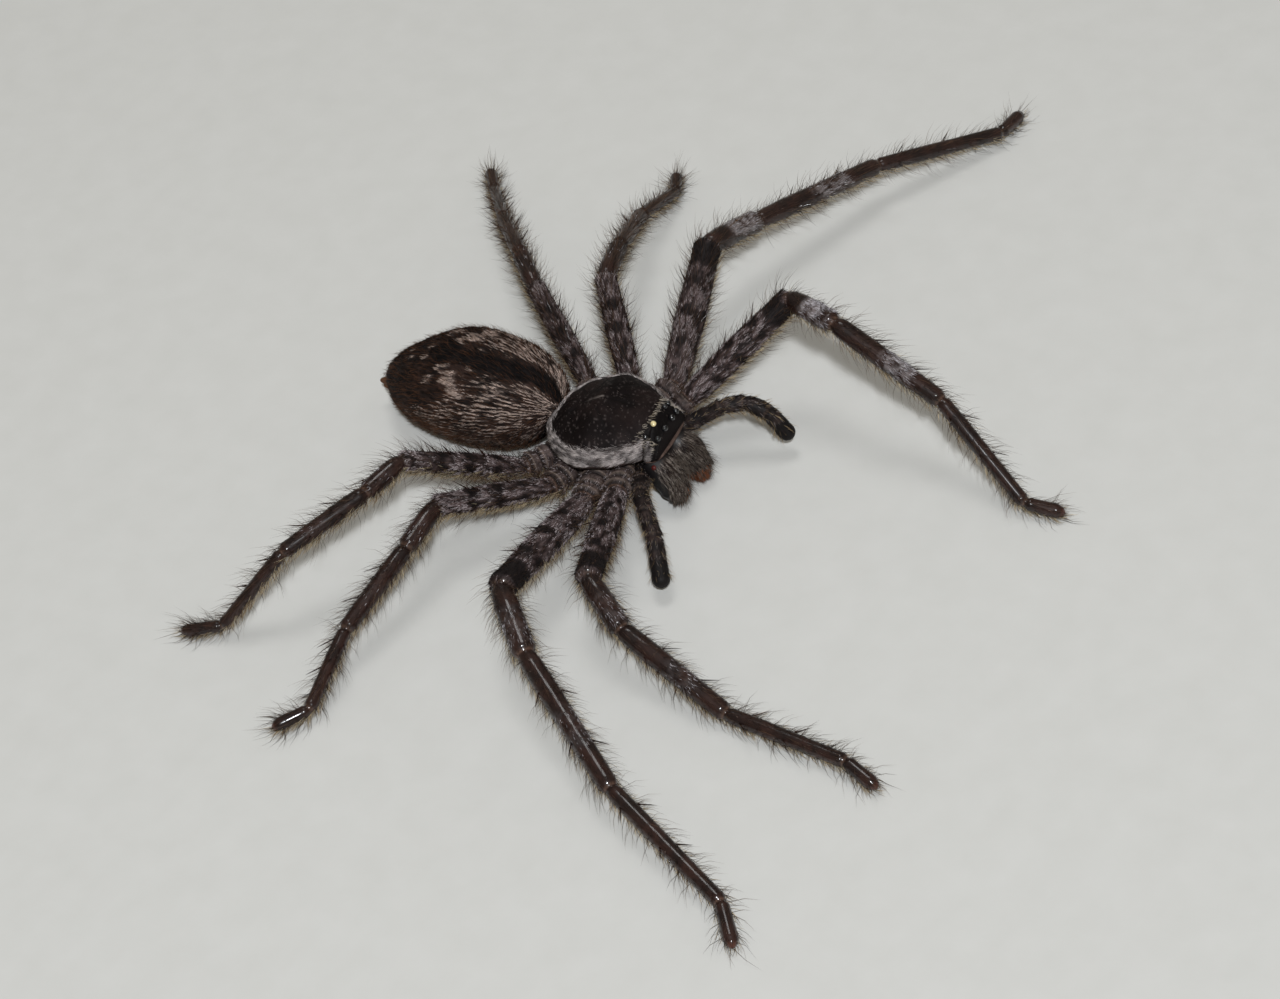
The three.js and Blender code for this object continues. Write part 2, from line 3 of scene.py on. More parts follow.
import bpy
import numpy as np
from mathutils import Matrix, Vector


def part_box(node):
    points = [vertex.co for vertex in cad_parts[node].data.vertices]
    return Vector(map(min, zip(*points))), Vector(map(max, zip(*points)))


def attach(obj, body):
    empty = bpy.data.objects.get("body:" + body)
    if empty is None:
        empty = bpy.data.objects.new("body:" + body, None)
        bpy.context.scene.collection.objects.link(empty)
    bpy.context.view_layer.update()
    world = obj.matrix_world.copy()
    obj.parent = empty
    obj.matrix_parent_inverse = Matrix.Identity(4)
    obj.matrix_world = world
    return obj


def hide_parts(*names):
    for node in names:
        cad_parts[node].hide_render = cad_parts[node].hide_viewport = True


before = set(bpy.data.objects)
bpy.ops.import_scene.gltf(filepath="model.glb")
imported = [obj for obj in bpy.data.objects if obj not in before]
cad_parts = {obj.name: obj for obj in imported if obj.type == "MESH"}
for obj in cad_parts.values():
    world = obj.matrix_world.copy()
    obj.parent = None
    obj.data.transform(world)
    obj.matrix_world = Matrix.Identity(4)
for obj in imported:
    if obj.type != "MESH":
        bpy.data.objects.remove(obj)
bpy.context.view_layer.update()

# Lengths are millimetres until a mesh is made, and the scene is in metres.
MM = 0.001

# Camera: the photo's height, turn, roll, distance and lens
CAMERA_HEIGHT = 43.5
CAMERA_TURN = -54.0
CAMERA_ROLL = -9.5
CAMERA_DISTANCE = 282.0
CAMERA_LENS = 95.0
CAMERA_AIM = (3.65, -2.73)

# Lamps: the flash is behind and above the camera, a weak lamp is high over the legs
FLASH_DISTANCE = 840.0
FLASH_RISE = 72.0
FLASH_ASIDE = 8.0
FLASH_SIZE = 0.05
FLASH_POWER = 5.45
FLASH_COLOUR = (0.97, 1.0, 1.04)
ABOVE_DISTANCE = 400.0
ABOVE_LEAN = 0.27
ABOVE_SIZE = 0.15
ABOVE_POWER = 0.3
STUDIO_COLOUR = (1.0, 0.93, 0.8, 1)
STUDIO_STRENGTH = 0.22
FLOOR_HALF = 2500.0
FLOOR_LEVEL = -0.03

# Stance, as in the solids
MARGIN_HEIGHT = 5.1
ANKLE_HEIGHT = 1.2
TOE_HEIGHT = 0.65
SHIELD_FRONT = 5.6
SHIELD_BACK = 5.3
SHIELD_LENGTH = SHIELD_FRONT + SHIELD_BACK
SHIELD_HALF_WIDTH = 5.55
HEAD_HALF_WIDTH = 2.75
SHIELD_TURN = math.radians(3.5)
SHIELD_DOME = 3.0
SHIELD_EDGE = 0.6
CORE_CENTRE = -0.6
ABDOMEN_LENGTH = 17.7
ABDOMEN_HALF_WIDTH = 5.5
ABDOMEN_HALF_HEIGHT = 4.55
ABDOMEN_BELLY = 4.2
ABDOMEN_CENTRE = -13.5
ABDOMEN_RISE = -0.3
ABDOMEN_DROOP = -2.1
JAW_LENGTH = 4.9
JAW_RADIUS = 1.45
JAW_SPREAD = 1.62
# Forward, left and radius of each pair of eyes
EYES = [(5.5, 0.68, 0.3), (5.35, 1.75, 0.29), (4.75, 1.08, 0.25), (4.45, 2.15, 0.26)]
# Femur, patella, tibia, metatarsus and tarsus of each pair of legs
LEG_LENGTHS = [
    (12.2, 5.2, 10.9, 10.8, 3.4),
    (14.2, 6.7, 14.2, 13.3, 4.0),
    (10.4, 4.6, 8.5, 7.4, 3.3),
    (12.0, 4.1, 8.3, 8.4, 3.7),
]
# Forward, left and above of the joint between hip and femur
HIPS = [(3.9, 6.2, -1.2), (1.6, 7.6, -1.7), (-2.2, 6.8, -2.1), (-5.5, 5.5, -2.2)]
HIP_ROOTS = (2.6, 0.9, -0.9, -2.6)
# Degrees from straight ahead of each leg piece, then the climb of the first three
LEG_HEADINGS = {
    "left": [
        (49, -17, -7, -19, 12), (104, 78, 69, 58, 86), (130, 105, 108, 95, 118), (143, 138, 134, 130, 129),
    ],
    "right": [
        (70, 29, 12, 4, 18), (87, 43, 33, 23, 50), (125, 93, 97, 84, 130), (124, 106, 118, 131, 155),
    ],
}
LEG_CLIMBS = {
    "left": [(36, 1, -22), (18, -16, -9), (25, -5, -21), (12, 9, -14)],
    "right": [(11, -22, -17), (13, -11, -10), (17, -10, -14), (31, -7, -12)],
}
LEG_RADII = [
    (1.2, 1.02, 0.92, 0.74, 0.66),
    (1.32, 1.1, 0.95, 0.78, 0.68),
    (1.06, 0.92, 0.82, 0.68, 0.62),
    (0.98, 0.88, 0.8, 0.66, 0.62),
]
HIP_RADII = (1.3, 1.38, 1.26, 1.22)
# Spines: place along the piece, degrees round it from the top, and length
FEMUR_SPINES = [
    (0.34, 4, 2.3), (0.62, -6, 2.2), (0.4, 62, 2.1), (0.68, 55, 2.0), (0.4, -62, 2.1), (0.68, -55, 2.0),
]
TIBIA_SPINES = [(0.26, 72, 2.0), (0.64, 68, 1.9), (0.3, -72, 2.0), (0.68, -68, 1.9)]
METATARSUS_SPINES = [(0.14, 70, 1.8), (0.5, 66, 1.6), (0.18, -70, 1.8), (0.54, -66, 1.6)]
# Forward, left and above of the joints of each palp
PALPS = {
    "left": [(4.6, 3.5, -1.9), (7.6, 5.5, -0.2), (9.2, 6.6, -0.1), (11.1, 7.0, -0.9), (12.9, 7.4, -3.6)],
    "right": [
        (4.5, -3.4, -2.0), (6.3, -6.2, -0.3), (7.7, -7.8, -0.5), (9.2, -9.3, -1.4), (11.3, -12.2, -3.7),
    ],
}
PALP_RADIUS = 0.72

# Small sizes of skin and hair
COAT_DEPTH = 0.1
FLOOR_CLEAR = 0.03
ROOT_DEPTH = 0.04
TUFT_UV = 0.0013
SKIN_RELIEF = 0.00006
GLOSS_ROUGHNESS = 0.13
SPINE_LEAN = math.radians(52)
SPINE_WIDTH = 0.17

# Bristles behind the eyes and beside them, and rows and columns of the upper side of the shield
BRISTLES = (70, 120)
SHIELD_GRID = (170, 110)
UP = np.array([0.0, 0.0, 1.0])
TURN = 2 * math.pi

# The solids were centred on their box, so the breast plate says where the body is
low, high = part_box("sternum")
SHIFT_X = -(low[0] + high[0]) / 2 / MM
SHIFT_Y = -CORE_CENTRE - (low[1] + high[1]) / 2 / MM


def spot(forward, left, above):
    """A point given forward, to the left and above the shield's margin."""
    return np.array([left - SHIFT_X, -forward - SHIFT_Y, above + MARGIN_HEIGHT])


def body_spots(forward, left, above, turn=0.0):
    """The same for arrays, turned to the left about the middle of the body."""
    x = left * math.cos(turn) + forward * math.sin(turn)
    y = left * math.sin(turn) - forward * math.cos(turn)
    return np.stack(np.broadcast_arrays(x - SHIFT_X, y - SHIFT_Y, above + MARGIN_HEIGHT), -1)


def tint(red, green, blue):
    """A colour as seen, 0 to 255, as light."""
    c = np.array([red, green, blue]) / 255.0
    return np.where(c <= 0.04045, c / 12.92, ((c + 0.055) / 1.055) ** 2.4)


def unit(v):
    return v / np.maximum(np.linalg.norm(v, axis=-1, keepdims=True), 1e-9)


def along(pairs, t):
    """A smooth reading of a size from pairs of place and value."""
    t = np.asarray(t, float)
    places = np.array([p[0] for p in pairs])
    values = np.array([p[1] for p in pairs])
    index = np.clip(np.searchsorted(places, t, side="left") - 1, 0, len(pairs) - 2)
    u = np.clip((t - places[index]) / (places[index + 1] - places[index]), 0, 1)
    u = u * u * (3 - 2 * u)
    return values[index] + (values[index + 1] - values[index]) * u


def ease(a, b, x):
    """From 0 to 1 as x goes from a to b, with soft ends."""
    t = np.clip((x - a) / (b - a), 0, 1)
    return t * t * (3 - 2 * t)


def fade(a, b, x):
    """From 1 to 0 as x goes from a to b."""
    return 1 - ease(a, b, x)


def bell(x, width):
    """A soft ring or groove of height 1."""
    return np.exp(-(x / width) ** 2)


def wrapped(angle):
    """Angles from a full turn as turns to either side of 0."""
    return angle - np.round(angle / TURN) * TURN


def crowded(rows):
    """Places from 0 to 1 that are closer together at both ends."""
    return 0.5 - 0.5 * np.cos(np.linspace(0, 1, rows) * math.pi) * 0.998


def hashed(ix, iy, iz, seed):
    """A repeatable number from 0 to 1 for each lattice point."""
    h = (ix * 374761393 + iy * 668265263 + iz * 2147483647 + seed * 1274126177) & 0xFFFFFFFF
    h = ((h ^ (h >> 13)) * 1103515245) & 0xFFFFFFFF
    return ((h ^ (h >> 16)) & 0xFFFFFF) / float(0xFFFFFF)


def noise(points, scale, seed):
    """Smooth value noise from 0 to 1; scale is features per millimetre."""
    p = np.asarray(points, float) * scale + 1000.0
    base = np.floor(p).astype(np.int64)
    f = p - base
    f = f * f * (3 - 2 * f)
    total = 0.0
    for dx, dy, dz in np.ndindex(2, 2, 2):
        w = (f[..., 0] if dx else 1 - f[..., 0]) * (f[..., 1] if dy else 1 - f[..., 1])
        w = w * (f[..., 2] if dz else 1 - f[..., 2])
        total = total + w * hashed(base[..., 0] + dx, base[..., 1] + dy, base[..., 2] + dz, seed)
    return total


def mottle(points, scale, seed):
    """Three octaves of noise, spread over 0 to 1."""
    n = noise(points, scale, seed) * 0.55 + noise(points, scale * 2.1, seed + 7) * 0.3
    return n + noise(points, scale * 4.3, seed + 13) * 0.15


def blend(a, b, t):
    """A mix of two colours, all a where t is 0; a tuple is a colour as seen."""
    a, b = (tint(*c) if isinstance(c, tuple) else c for c in (a, b))
    t = np.asarray(t)[..., None]
    return a * (1 - t) + b * t


def mesh_object(name, points, faces, attributes):
    """A mesh from arrays: points in millimetres, faces of one size, attributes per point."""
    mesh = bpy.data.meshes.new(name)
    points = np.asarray(points, np.float32) * MM
    faces = np.asarray(faces, np.int32)
    sides = faces.shape[1]
    mesh.vertices.add(len(points))
    mesh.vertices.foreach_set("co", points.ravel())
    mesh.loops.add(faces.size)
    mesh.loops.foreach_set("vertex_index", faces.ravel())
    mesh.polygons.add(len(faces))
    mesh.polygons.foreach_set("loop_start", np.arange(0, faces.size, sides, dtype=np.int32))
    mesh.polygons.foreach_set("use_smooth", np.full(len(faces), True))
    mesh.update(calc_edges=True)
    for key, values in attributes.items():
        values = np.asarray(values, np.float32)
        if key == "OFBake":
            field = mesh.uv_layers.new(name="OFBake")
            field.data.foreach_set("uv", values[faces.ravel()].ravel())
        elif key == "paint":
            rgba = np.concatenate([values, np.ones((len(values), 1), np.float32)], 1)
            field = mesh.color_attributes.new(name=key, type="FLOAT_COLOR", domain="POINT")
            field.data.foreach_set("color", rgba.ravel())
        else:
            mesh.attributes.new(key, "FLOAT_VECTOR", "POINT").data.foreach_set("vector", values.ravel())
    mesh.validate()
    piece = bpy.data.objects.new(name, mesh)
    bpy.context.scene.collection.objects.link(piece)
    return piece


class Patch:
    """A surface over a grid: rows run along it and columns close around it."""

    def __init__(self, points, paint, region=(0.0, 0.0, 1.0, 1.0)):
        self.points = points
        self.paint = paint
        self.rows, self.columns = points.shape[:2]
        self.region = region
        around = np.roll(points, -1, 1) - np.roll(points, 1, 1)
        lengthwise = np.gradient(points, axis=0)
        normal = unit(np.cross(around, lengthwise))
        centre = points.mean(1, keepdims=True)
        outwards = np.sum((points - centre) * normal)
        self.normal = normal if outwards > 0 else -normal
        self.lengthwise = unit(lengthwise)
        self.around = unit(np.cross(self.normal, self.lengthwise))
        self.run = np.concatenate([[0], np.cumsum(np.linalg.norm(np.diff(centre[:, 0], axis=0), axis=1))])

    def faces(self):
        r = np.arange(self.rows - 1)[:, None]
        c = np.arange(self.columns)[None, :]
        n = (c + 1) % self.columns
        quads = np.stack([r * self.columns + c, r * self.columns + n,
                          (r + 1) * self.columns + n, (r + 1) * self.columns + c], -1)
        quads = quads.reshape(-1, 4)
        a, b, d = (self.points.reshape(-1, 3)[quads[:, k]] for k in (0, 1, 3))
        facing = np.sum(np.cross(b - a, d - a) * self.normal.reshape(-1, 3)[quads[:, 0]])
        return quads if facing > 0 else quads[:, ::-1]

    def roots(self, count, rng, weight):
        """Random places on the surface, evenly spread or by a weight for each grid point."""
        corner = self.points[:-1]
        beside = np.roll(corner, -1, 1)
        area = np.linalg.norm(np.cross(beside - corner, self.points[1:] - corner), axis=-1)
        if weight is not None:
            area = area * weight[:-1]
        chance = (area / area.sum()).ravel()
        pick = rng.choice(chance.size, count, p=chance)
        row, column = pick // self.columns, pick % self.columns
        fu, fv = rng.random(count), rng.random(count)
        after = (column + 1) % self.columns

        def mixed(field):
            top = field[row, column] * (1 - fv[:, None]) + field[row, after] * fv[:, None]
            bottom = field[row + 1, column] * (1 - fv[:, None]) + field[row + 1, after] * fv[:, None]
            return top * (1 - fu[:, None]) + bottom * fu[:, None]

        x0, y0, x1, y1 = self.region
        u = x0 + (x1 - x0) * (0.01 + 0.98 * (row + fu) / (self.rows - 1))
        v = y0 + (y1 - y0) * (0.01 + 0.98 * (column + fv) / self.columns)
        return {
            "place": mixed(self.points), "normal": unit(mixed(self.normal)),
            "lengthwise": unit(mixed(self.lengthwise)), "around": unit(mixed(self.around)),
            "paint": mixed(self.paint), "column": (column + fv) / self.columns, "uv": np.stack([u, v], 1),
        }


def skin_arrays(patch):
    """Points, faces, colours and hair direction of a patch with both ends capped."""
    angle = np.arange(patch.columns) / patch.columns * TURN
    size = np.linalg.norm(patch.points - patch.points.mean(1, keepdims=True), axis=-1).mean(1)[:, None]
    flow = np.broadcast_arrays(patch.run[:, None], np.sin(angle) * size, np.cos(angle) * size)
    faces = [patch.faces()]
    turned = faces[0][0, 0] != 0
    hub = patch.rows * patch.columns
    for row in (0, patch.rows - 1):
        a = row * patch.columns + np.arange(patch.columns)
        b = np.roll(a, -1)
        if (row == 0) != turned:
            a, b = b, a
        hubs = np.full_like(a, hub)
        faces.append(np.stack([a, b, hubs, hubs], 1))
        hub += 1
    fields = (patch.points, patch.paint, np.stack(flow, -1))
    points, paint, flow = (np.concatenate([f.reshape(-1, 3), f[[0, -1]].mean(1)]) for f in fields)
    return points, np.concatenate(faces), paint, flow


def joined(bundles):
    """One set of arrays from bundles of points, faces and values for each point."""
    points, faces, *values = zip(*bundles)
    starts = np.cumsum([0] + [len(p) for p in points])
    faces = np.concatenate([f + start for f, start in zip(faces, starts)])
    return np.concatenate(points), faces, *(np.concatenate(v) for v in values)


def dress(piece, look):
    """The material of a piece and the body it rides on."""
    piece.data.materials.append(LOOKS[look])
    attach(piece, "root")


def skin_object(name, patches, look, nodes, outer=None, is_outer=None):
    """A skin in the place of nodes of flesh; outer is the look of the points marked by is_outer."""
    points, quads, paint, flow = joined([skin_arrays(patch) for patch in patches])
    caps = quads[:, 2] == quads[:, 3]
    triangles = np.concatenate([quads[:, [0, 1, 2]], quads[~caps][:, [0, 2, 3]]])
    piece = mesh_object(name, points, triangles, {"paint": paint, "flow": flow})
    dress(piece, look)
    if outer:
        piece.data.materials.append(LOOKS[outer])
        piece.data.polygons.foreach_set("material_index", is_outer[triangles[:, 0]].astype(np.int32))
    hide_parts(*nodes)


def plain_patch(points, colour):
    return Patch(points, np.broadcast_to(colour, points.shape))


def tuft_arrays(roots, ways, bends, lengths, widths, steps, paint_root, paint_tip):
    """Three-sided tapering hairs: way is how each leaves the skin, bend is how far it curls over."""
    count = len(lengths)
    aside = unit(np.cross(ways, roots["normal"] + 1e-4))
    upright = unit(np.cross(ways, aside))
    rings, colours = [], []
    base = roots["place"] - roots["normal"] * ROOT_DEPTH
    for k in range(steps):
        t = k / steps
        centre = base + (ways * t + bends * t * t) * lengths[:, None]
        r = widths * 0.5 * (1 - t) ** 0.6
        for j in range(3):
            a = TURN * j / 3
            rings.append(centre + (aside * math.cos(a) + upright * math.sin(a)) * r[:, None])
            colours.append(blend(paint_root, paint_tip, np.full(count, t)))
    rings.append(base + (ways + bends) * lengths[:, None])
    colours.append(paint_tip)
    per = steps * 3 + 1
    points = np.stack(rings, 1).reshape(-1, 3)
    points[:, 2] = np.maximum(points[:, 2], FLOOR_CLEAR)
    paint = np.stack(colours, 1).reshape(-1, 3)
    pattern = [(0, 1, 2)]
    for k in range(steps):
        for a, b in ((3 * k + j, 3 * k + (j + 1) % 3) for j in range(3)):
            last = k == steps - 1
            pattern += [(a, per - 1, b)] if last else [(a, a + 3, b), (b, a + 3, b + 3)]
    faces = (np.array(pattern)[None] + (np.arange(count) * per)[:, None, None]).reshape(-1, 3)
    down = np.linspace(-TUFT_UV, TUFT_UV, per)
    across = np.tile([-TUFT_UV, 0, TUFT_UV], per)[:per]
    uv = roots["uv"][:, None, :] + np.stack([down, across], 1)[None]
    return points, faces, paint, uv.reshape(-1, 2)


def coat_object(name, bundles, look="hair"):
    """One piece of many bundles of hair."""
    points, faces, paint, uv = joined(bundles)
    dress(mesh_object(name, points, faces, {"paint": paint, "OFBake": uv}), look)


# Layers of hair: number, length, width, degrees off the skin, steps along a hair, curl, wander of the
# lie, brightness of the tip, spread of the lengths, and the colours that are mixed from hair to hair
LAYERS = {
    "leg_flecks": (4300, 0.42, 0.05, 12, 1, 0.0, 0.16, 1.0, 0.35, (116, 102, 102), (208, 197, 198)),
    "leg_dark": (2600, 0.5, 0.06, 11, 1, 0.0, 0.2, 1.0, 0.35),
    "shank_dark": (1000, 0.5, 0.04, 10, 1, 0.0, 0.18, 1.0, 0.35, (14, 9, 8), (38, 25, 22)),
    "shank_flecks": (240, 0.42, 0.035, 16, 1, 0.0, 0.2, 1.0, 0.35, (80, 64, 56), (150, 132, 120)),
    "leg_white": (1000, 0.5, 0.05, 12, 1, 0.0, 0.16, 1.0, 0.35, (176, 170, 174), (226, 222, 226)),
    "leg_fringe": (1850, 1.0, 0.042, 44, 2, 0.3, 0.3, 1.2, 0.35, (150, 128, 98), (212, 196, 164)),
    "leg_brown": (1000, 0.85, 0.036, 48, 2, 0.3, 0.4, 1.3, 0.35, (30, 20, 17), (84, 64, 54)),
    "leg_bristles": (1150, 1.95, 0.034, 60, 2, 0.25, 0.25, 1.5, 0.45, (34, 23, 19), (94, 72, 56)),
    "abdomen_dark": (12500, 0.7, 0.075, 9, 2, 0.0, 0.16, 1.0, 0.35),
    "abdomen_pale": (8500, 0.46, 0.06, 12, 2, 0.0, 0.08, 1.0, 0.35),
    "abdomen_erect": (3200, 0.85, 0.033, 42, 2, 0.3, 0.3, 1.5, 0.4, (80, 53, 37)),
    "shield_rim": (11000, 0.62, 0.045, 12, 2, 0.0, 0.18, 1.0, 0.35),
    "shield_specks": (260, 0.22, 0.05, 20, 1, 0.0, 0.4, 1.0, 0.35, (120, 108, 100)),
    "jaw_pale": (2300, 0.55, 0.05, 12, 2, 0.1, 0.12, 1.0, 0.35, (94, 84, 76), (184, 172, 162)),
    "jaw_dark": (2500, 0.6, 0.055, 14, 2, 0.1, 0.12, 1.0, 0.35, (22, 17, 16), (58, 46, 42)),
    "jaw_fringe": (700, 0.7, 0.06, 32, 2, 0.4, 0.3, 1.0, 0.35, (84, 44, 26), (168, 98, 56)),
    "jaw_bristles": (360, 1.1, 0.033, 52, 2, 0.2, 0.3, 1.3, 0.35, (98, 88, 80)),
    "palp_dark": (1500, 0.5, 0.05, 14, 2, 0.1, 0.22, 1.0, 0.35, (14, 10, 10), (40, 31, 29)),
    "palp_flecks": (560, 0.45, 0.05, 18, 2, 0.1, 0.25, 1.0, 0.35, (84, 74, 70), (150, 140, 136)),
    "palp_fringe": (700, 0.75, 0.035, 50, 2, 0.2, 0.3, 1.2, 0.35, (120, 98, 74), (186, 166, 132)),
}


def layer(name, patch, rng, weight, share=1.0, paint=None, lie=1):
    """A layer of hair over a patch; lie is 1 or -1 along the rows, or a function of the roots."""
    number, length, width, lift, steps, curl, spray, tip, vary, *colours = LAYERS[name]
    count = round(number * share)
    roots = patch.roots(count, rng, weight)
    wander = rng.normal(0, spray, (count, 2))
    aside = roots["around"] * wander[:, 1:]
    if callable(lie):
        flat = lie(roots) + roots["lengthwise"] * wander[:, :1] + aside
        flat = flat - roots["normal"] * np.sum(flat * roots["normal"], 1, keepdims=True)
    else:
        flat = roots["lengthwise"] * (lie + wander[:, :1]) + aside
    flat = unit(flat)
    angle = np.radians(np.clip(lift + rng.normal(0, lift * 0.3, count), 2, 88))
    ways = flat * np.cos(angle)[:, None] + roots["normal"] * np.sin(angle)[:, None]
    bends = flat * curl - roots["normal"] * (curl * np.sin(angle)[:, None])
    lengths = length * (1 + vary * (rng.random(count) * 2 - 1))
    widths = width * (1 + 0.25 * (rng.random(count) * 2 - 1))
    if paint:
        base = paint(roots)
    else:
        base = blend(colours[0], colours[-1], hashed((roots["uv"][:, 0] * 1e6).astype(np.int64), 3, 5, 7))
    base = base * (0.75 + 0.5 * rng.random(count))[:, None]
    return tuft_arrays(roots, ways, bends, lengths, widths, steps, base * 0.8, np.clip(base * tip, 0, 1))


def layers(patch, rng, **weights):
    """Plain layers of hair over a patch, each by its weight."""
    return [layer(name, patch, rng, weight) for name, weight in weights.items()]


def node_tree(name):
    material = bpy.data.materials.new(name)
    material.use_nodes = True
    tree = material.node_tree
    return material, tree, tree.nodes["Principled BSDF"]


def feed(tree, node, inputs):
    """Each input of a node gets a value or the output that leads to it."""
    for key, value in inputs.items():
        if isinstance(value, bpy.types.NodeSocket):
            tree.links.new(value, node.inputs[key])
        else:
            node.inputs[key].default_value = value


def add_node(tree, kind, inputs, output=0, **fields):
    """A new shader node with its inputs and fields set; gives one of its outputs."""
    node = tree.nodes.new("ShaderNode" + kind)
    for field, value in fields.items():
        setattr(node, field, value)
    feed(tree, node, inputs)
    return node.outputs[output]


def mapped_noise(tree, source, scale, detail, stretch=(1, 1, 1)):
    mapped = add_node(tree, "Mapping", {"Scale": stretch, "Vector": source})
    return add_node(tree, "TexNoise", {"Scale": scale, "Detail": detail, "Vector": mapped})


def object_noise(tree, scale, detail):
    return mapped_noise(tree, add_node(tree, "TexCoord", {}, "Object"), scale, detail)


def spread(tree, value, low, high):
    """Takes 0.3 to 0.7 of a noise to low to high."""
    ranges = {"From Min": 0.3, "From Max": 0.7, "To Min": low, "To Max": high, "Value": value}
    return add_node(tree, "MapRange", ranges)


def painted(tree, factor):
    """The painted colour of the mesh times a factor."""
    paint = add_node(tree, "VertexColor", {}, layer_name="paint")
    return add_node(tree, "VectorMath", {0: paint, "Scale": factor}, operation="SCALE")


def two_colours(tree, value, first, second, places=(0.3, 0.7)):
    """A colour that goes from first to second as a noise goes between two places."""
    node = tree.nodes.new("ShaderNodeValToRGB")
    for stop, place, colour in zip(node.color_ramp.elements, places, (first, second)):
        stop.position = place
        stop.color = (*colour, 1)
    tree.links.new(value, node.inputs["Fac"])
    return node.outputs["Color"]


def skin_material(name, rough, shine, streak=(1.0, 6.0, 6.0), contrast=(0.75, 1.3), bump=0.4, gloss=0.0):
    """Painted skin with fine streaks that follow the lie of the hair."""
    material, tree, shader = node_tree(name)
    flow = add_node(tree, "Attribute", {}, "Vector", attribute_name="flow")
    grain = mapped_noise(tree, flow, 2.2, 4.0, streak)
    speckle = mapped_noise(tree, flow, 9.0, 2.0)
    factors = {0: spread(tree, grain, *contrast), 1: spread(tree, speckle, 0.85, 1.15)}
    feed(tree, shader, {
        "Base Color": painted(tree, add_node(tree, "Math", factors, operation="MULTIPLY")),
        "Roughness": spread(tree, speckle, rough - 0.08, rough + 0.1),
        "Specular IOR Level": shine,
        "Coat Weight": gloss,
        "Normal": add_node(tree, "Bump", {"Strength": bump, "Distance": SKIN_RELIEF, "Height": grain}),
    })
    if gloss:
        feed(tree, shader, {"Coat Roughness": GLOSS_ROUGHNESS})
    return material


def hair_material(name, rough, shine):
    """Painted hair, a little uneven along and between tufts."""
    material, tree, shader = node_tree(name)
    grain = object_noise(tree, 1600.0, 2.0)
    feed(tree, shader, {
        "Base Color": painted(tree, spread(tree, grain, 0.78, 1.25)),
        "Roughness": spread(tree, grain, rough - 0.06, rough + 0.08),
        "Specular IOR Level": shine,
    })
    return material


def hard_material(name, colour, rough, coat):
    """Bare shell: eyes, fangs and spines."""
    material, tree, shader = node_tree(name)
    grain = object_noise(tree, 2500.0, 3.0)
    feed(tree, shader, {
        "Base Color": two_colours(tree, grain, colour * 0.7, colour * 1.4),
        "Roughness": spread(tree, grain, rough - 0.03, rough + 0.05),
        "Coat Weight": coat,
        "Coat Roughness": GLOSS_ROUGHNESS,
    })
    return material


# Colours read from the photo
BLACK = tint(20, 15, 15)
DARK = tint(42, 30, 28)
FEMUR = tint(112, 97, 93)
FEMUR_DARK = tint(64, 50, 48)
GREY_HAIR = tint(158, 145, 142)
CREAM = tint(200, 178, 168)

LOOKS = {
    "femur": skin_material("femur_skin", 0.62, 0.2, bump=0.5),
    "shank": skin_material("shank_skin", 0.45, 0.15, bump=0.2, gloss=0.75),
    "shield": skin_material("shield_skin", 0.6, 0.08, (3, 3, 3), (0.85, 1.2), 0.2),
    "abdomen": skin_material("abdomen_skin", 0.75, 0.15),
    "jaw": skin_material("jaw_skin", 0.5, 0.4, gloss=0.12),
    "palp": skin_material("palp_skin", 0.6, 0.2),
    "underside": skin_material("underside_skin", 0.7, 0.3),
    "spinneret": skin_material("spinneret_skin", 0.6, 0.3),
    "eye": hard_material("eye_shine", tint(6, 6, 10), 0.2, 0.7),
    # painted eye-shine: a pale glossy lens that stands in for the glint of the one eye that shines
    "painted_eyeshine": hard_material("eye_painted_glint", tint(216, 200, 150), 0.08, 1.0),
    "fang": hard_material("fang_shine", tint(40, 24, 20), 0.25, 0.4),
    "hair": hair_material("hair_fine", 0.6, 0.12),
}


def smooth_line(joints, step, softness):
    """A line through joints with rounded corners; gives points, joint places and run."""
    parts = np.linalg.norm(np.diff(joints, axis=0), axis=1)
    stops = np.concatenate([[0], np.cumsum(parts)])
    count = int(stops[-1] / step)
    run = np.linspace(0, stops[-1], count)
    line = np.stack([np.interp(run, stops, joints[:, k]) for k in range(3)], 1)
    reach = int(3 * softness / step)
    kernel = np.exp(-0.5 * (np.arange(-reach, reach + 1) * step / softness) ** 2)
    kernel /= kernel.sum()
    first = line[0] - (line[1] - line[0]) * np.arange(reach, 0, -1)[:, None]
    last = line[-1] + (line[-1] - line[-2]) * np.arange(1, reach + 1)[:, None]
    padded = np.concatenate([first, line, last])
    soft = np.stack([np.convolve(padded[:, k], kernel, "valid") for k in range(3)], 1)
    return soft, stops, run


def tube_grid(line, radii, columns, lowest=FLOOR_CLEAR):
    """Rings round a line, none below the lowest level; column 0 is the top."""
    tangent = unit(np.gradient(line, axis=0))
    side = unit(np.cross(tangent, UP))
    top = unit(np.cross(side, tangent))
    angle = np.arange(columns) / columns * TURN
    size = radii[:, None, None]
    out = top[:, None] * (np.cos(angle)[:, None] * size) + side[:, None] * (np.sin(angle)[:, None] * size)
    points = line[:, None] + out
    points[..., 2] = np.maximum(points[..., 2], lowest)
    return points, angle


def heading(side, turn, climb):
    """A direction, from degrees out from straight ahead and degrees up."""
    a, e = math.radians(turn), math.radians(climb)
    return np.array([side * math.sin(a) * math.cos(e), -math.cos(a) * math.cos(e), math.sin(e)])


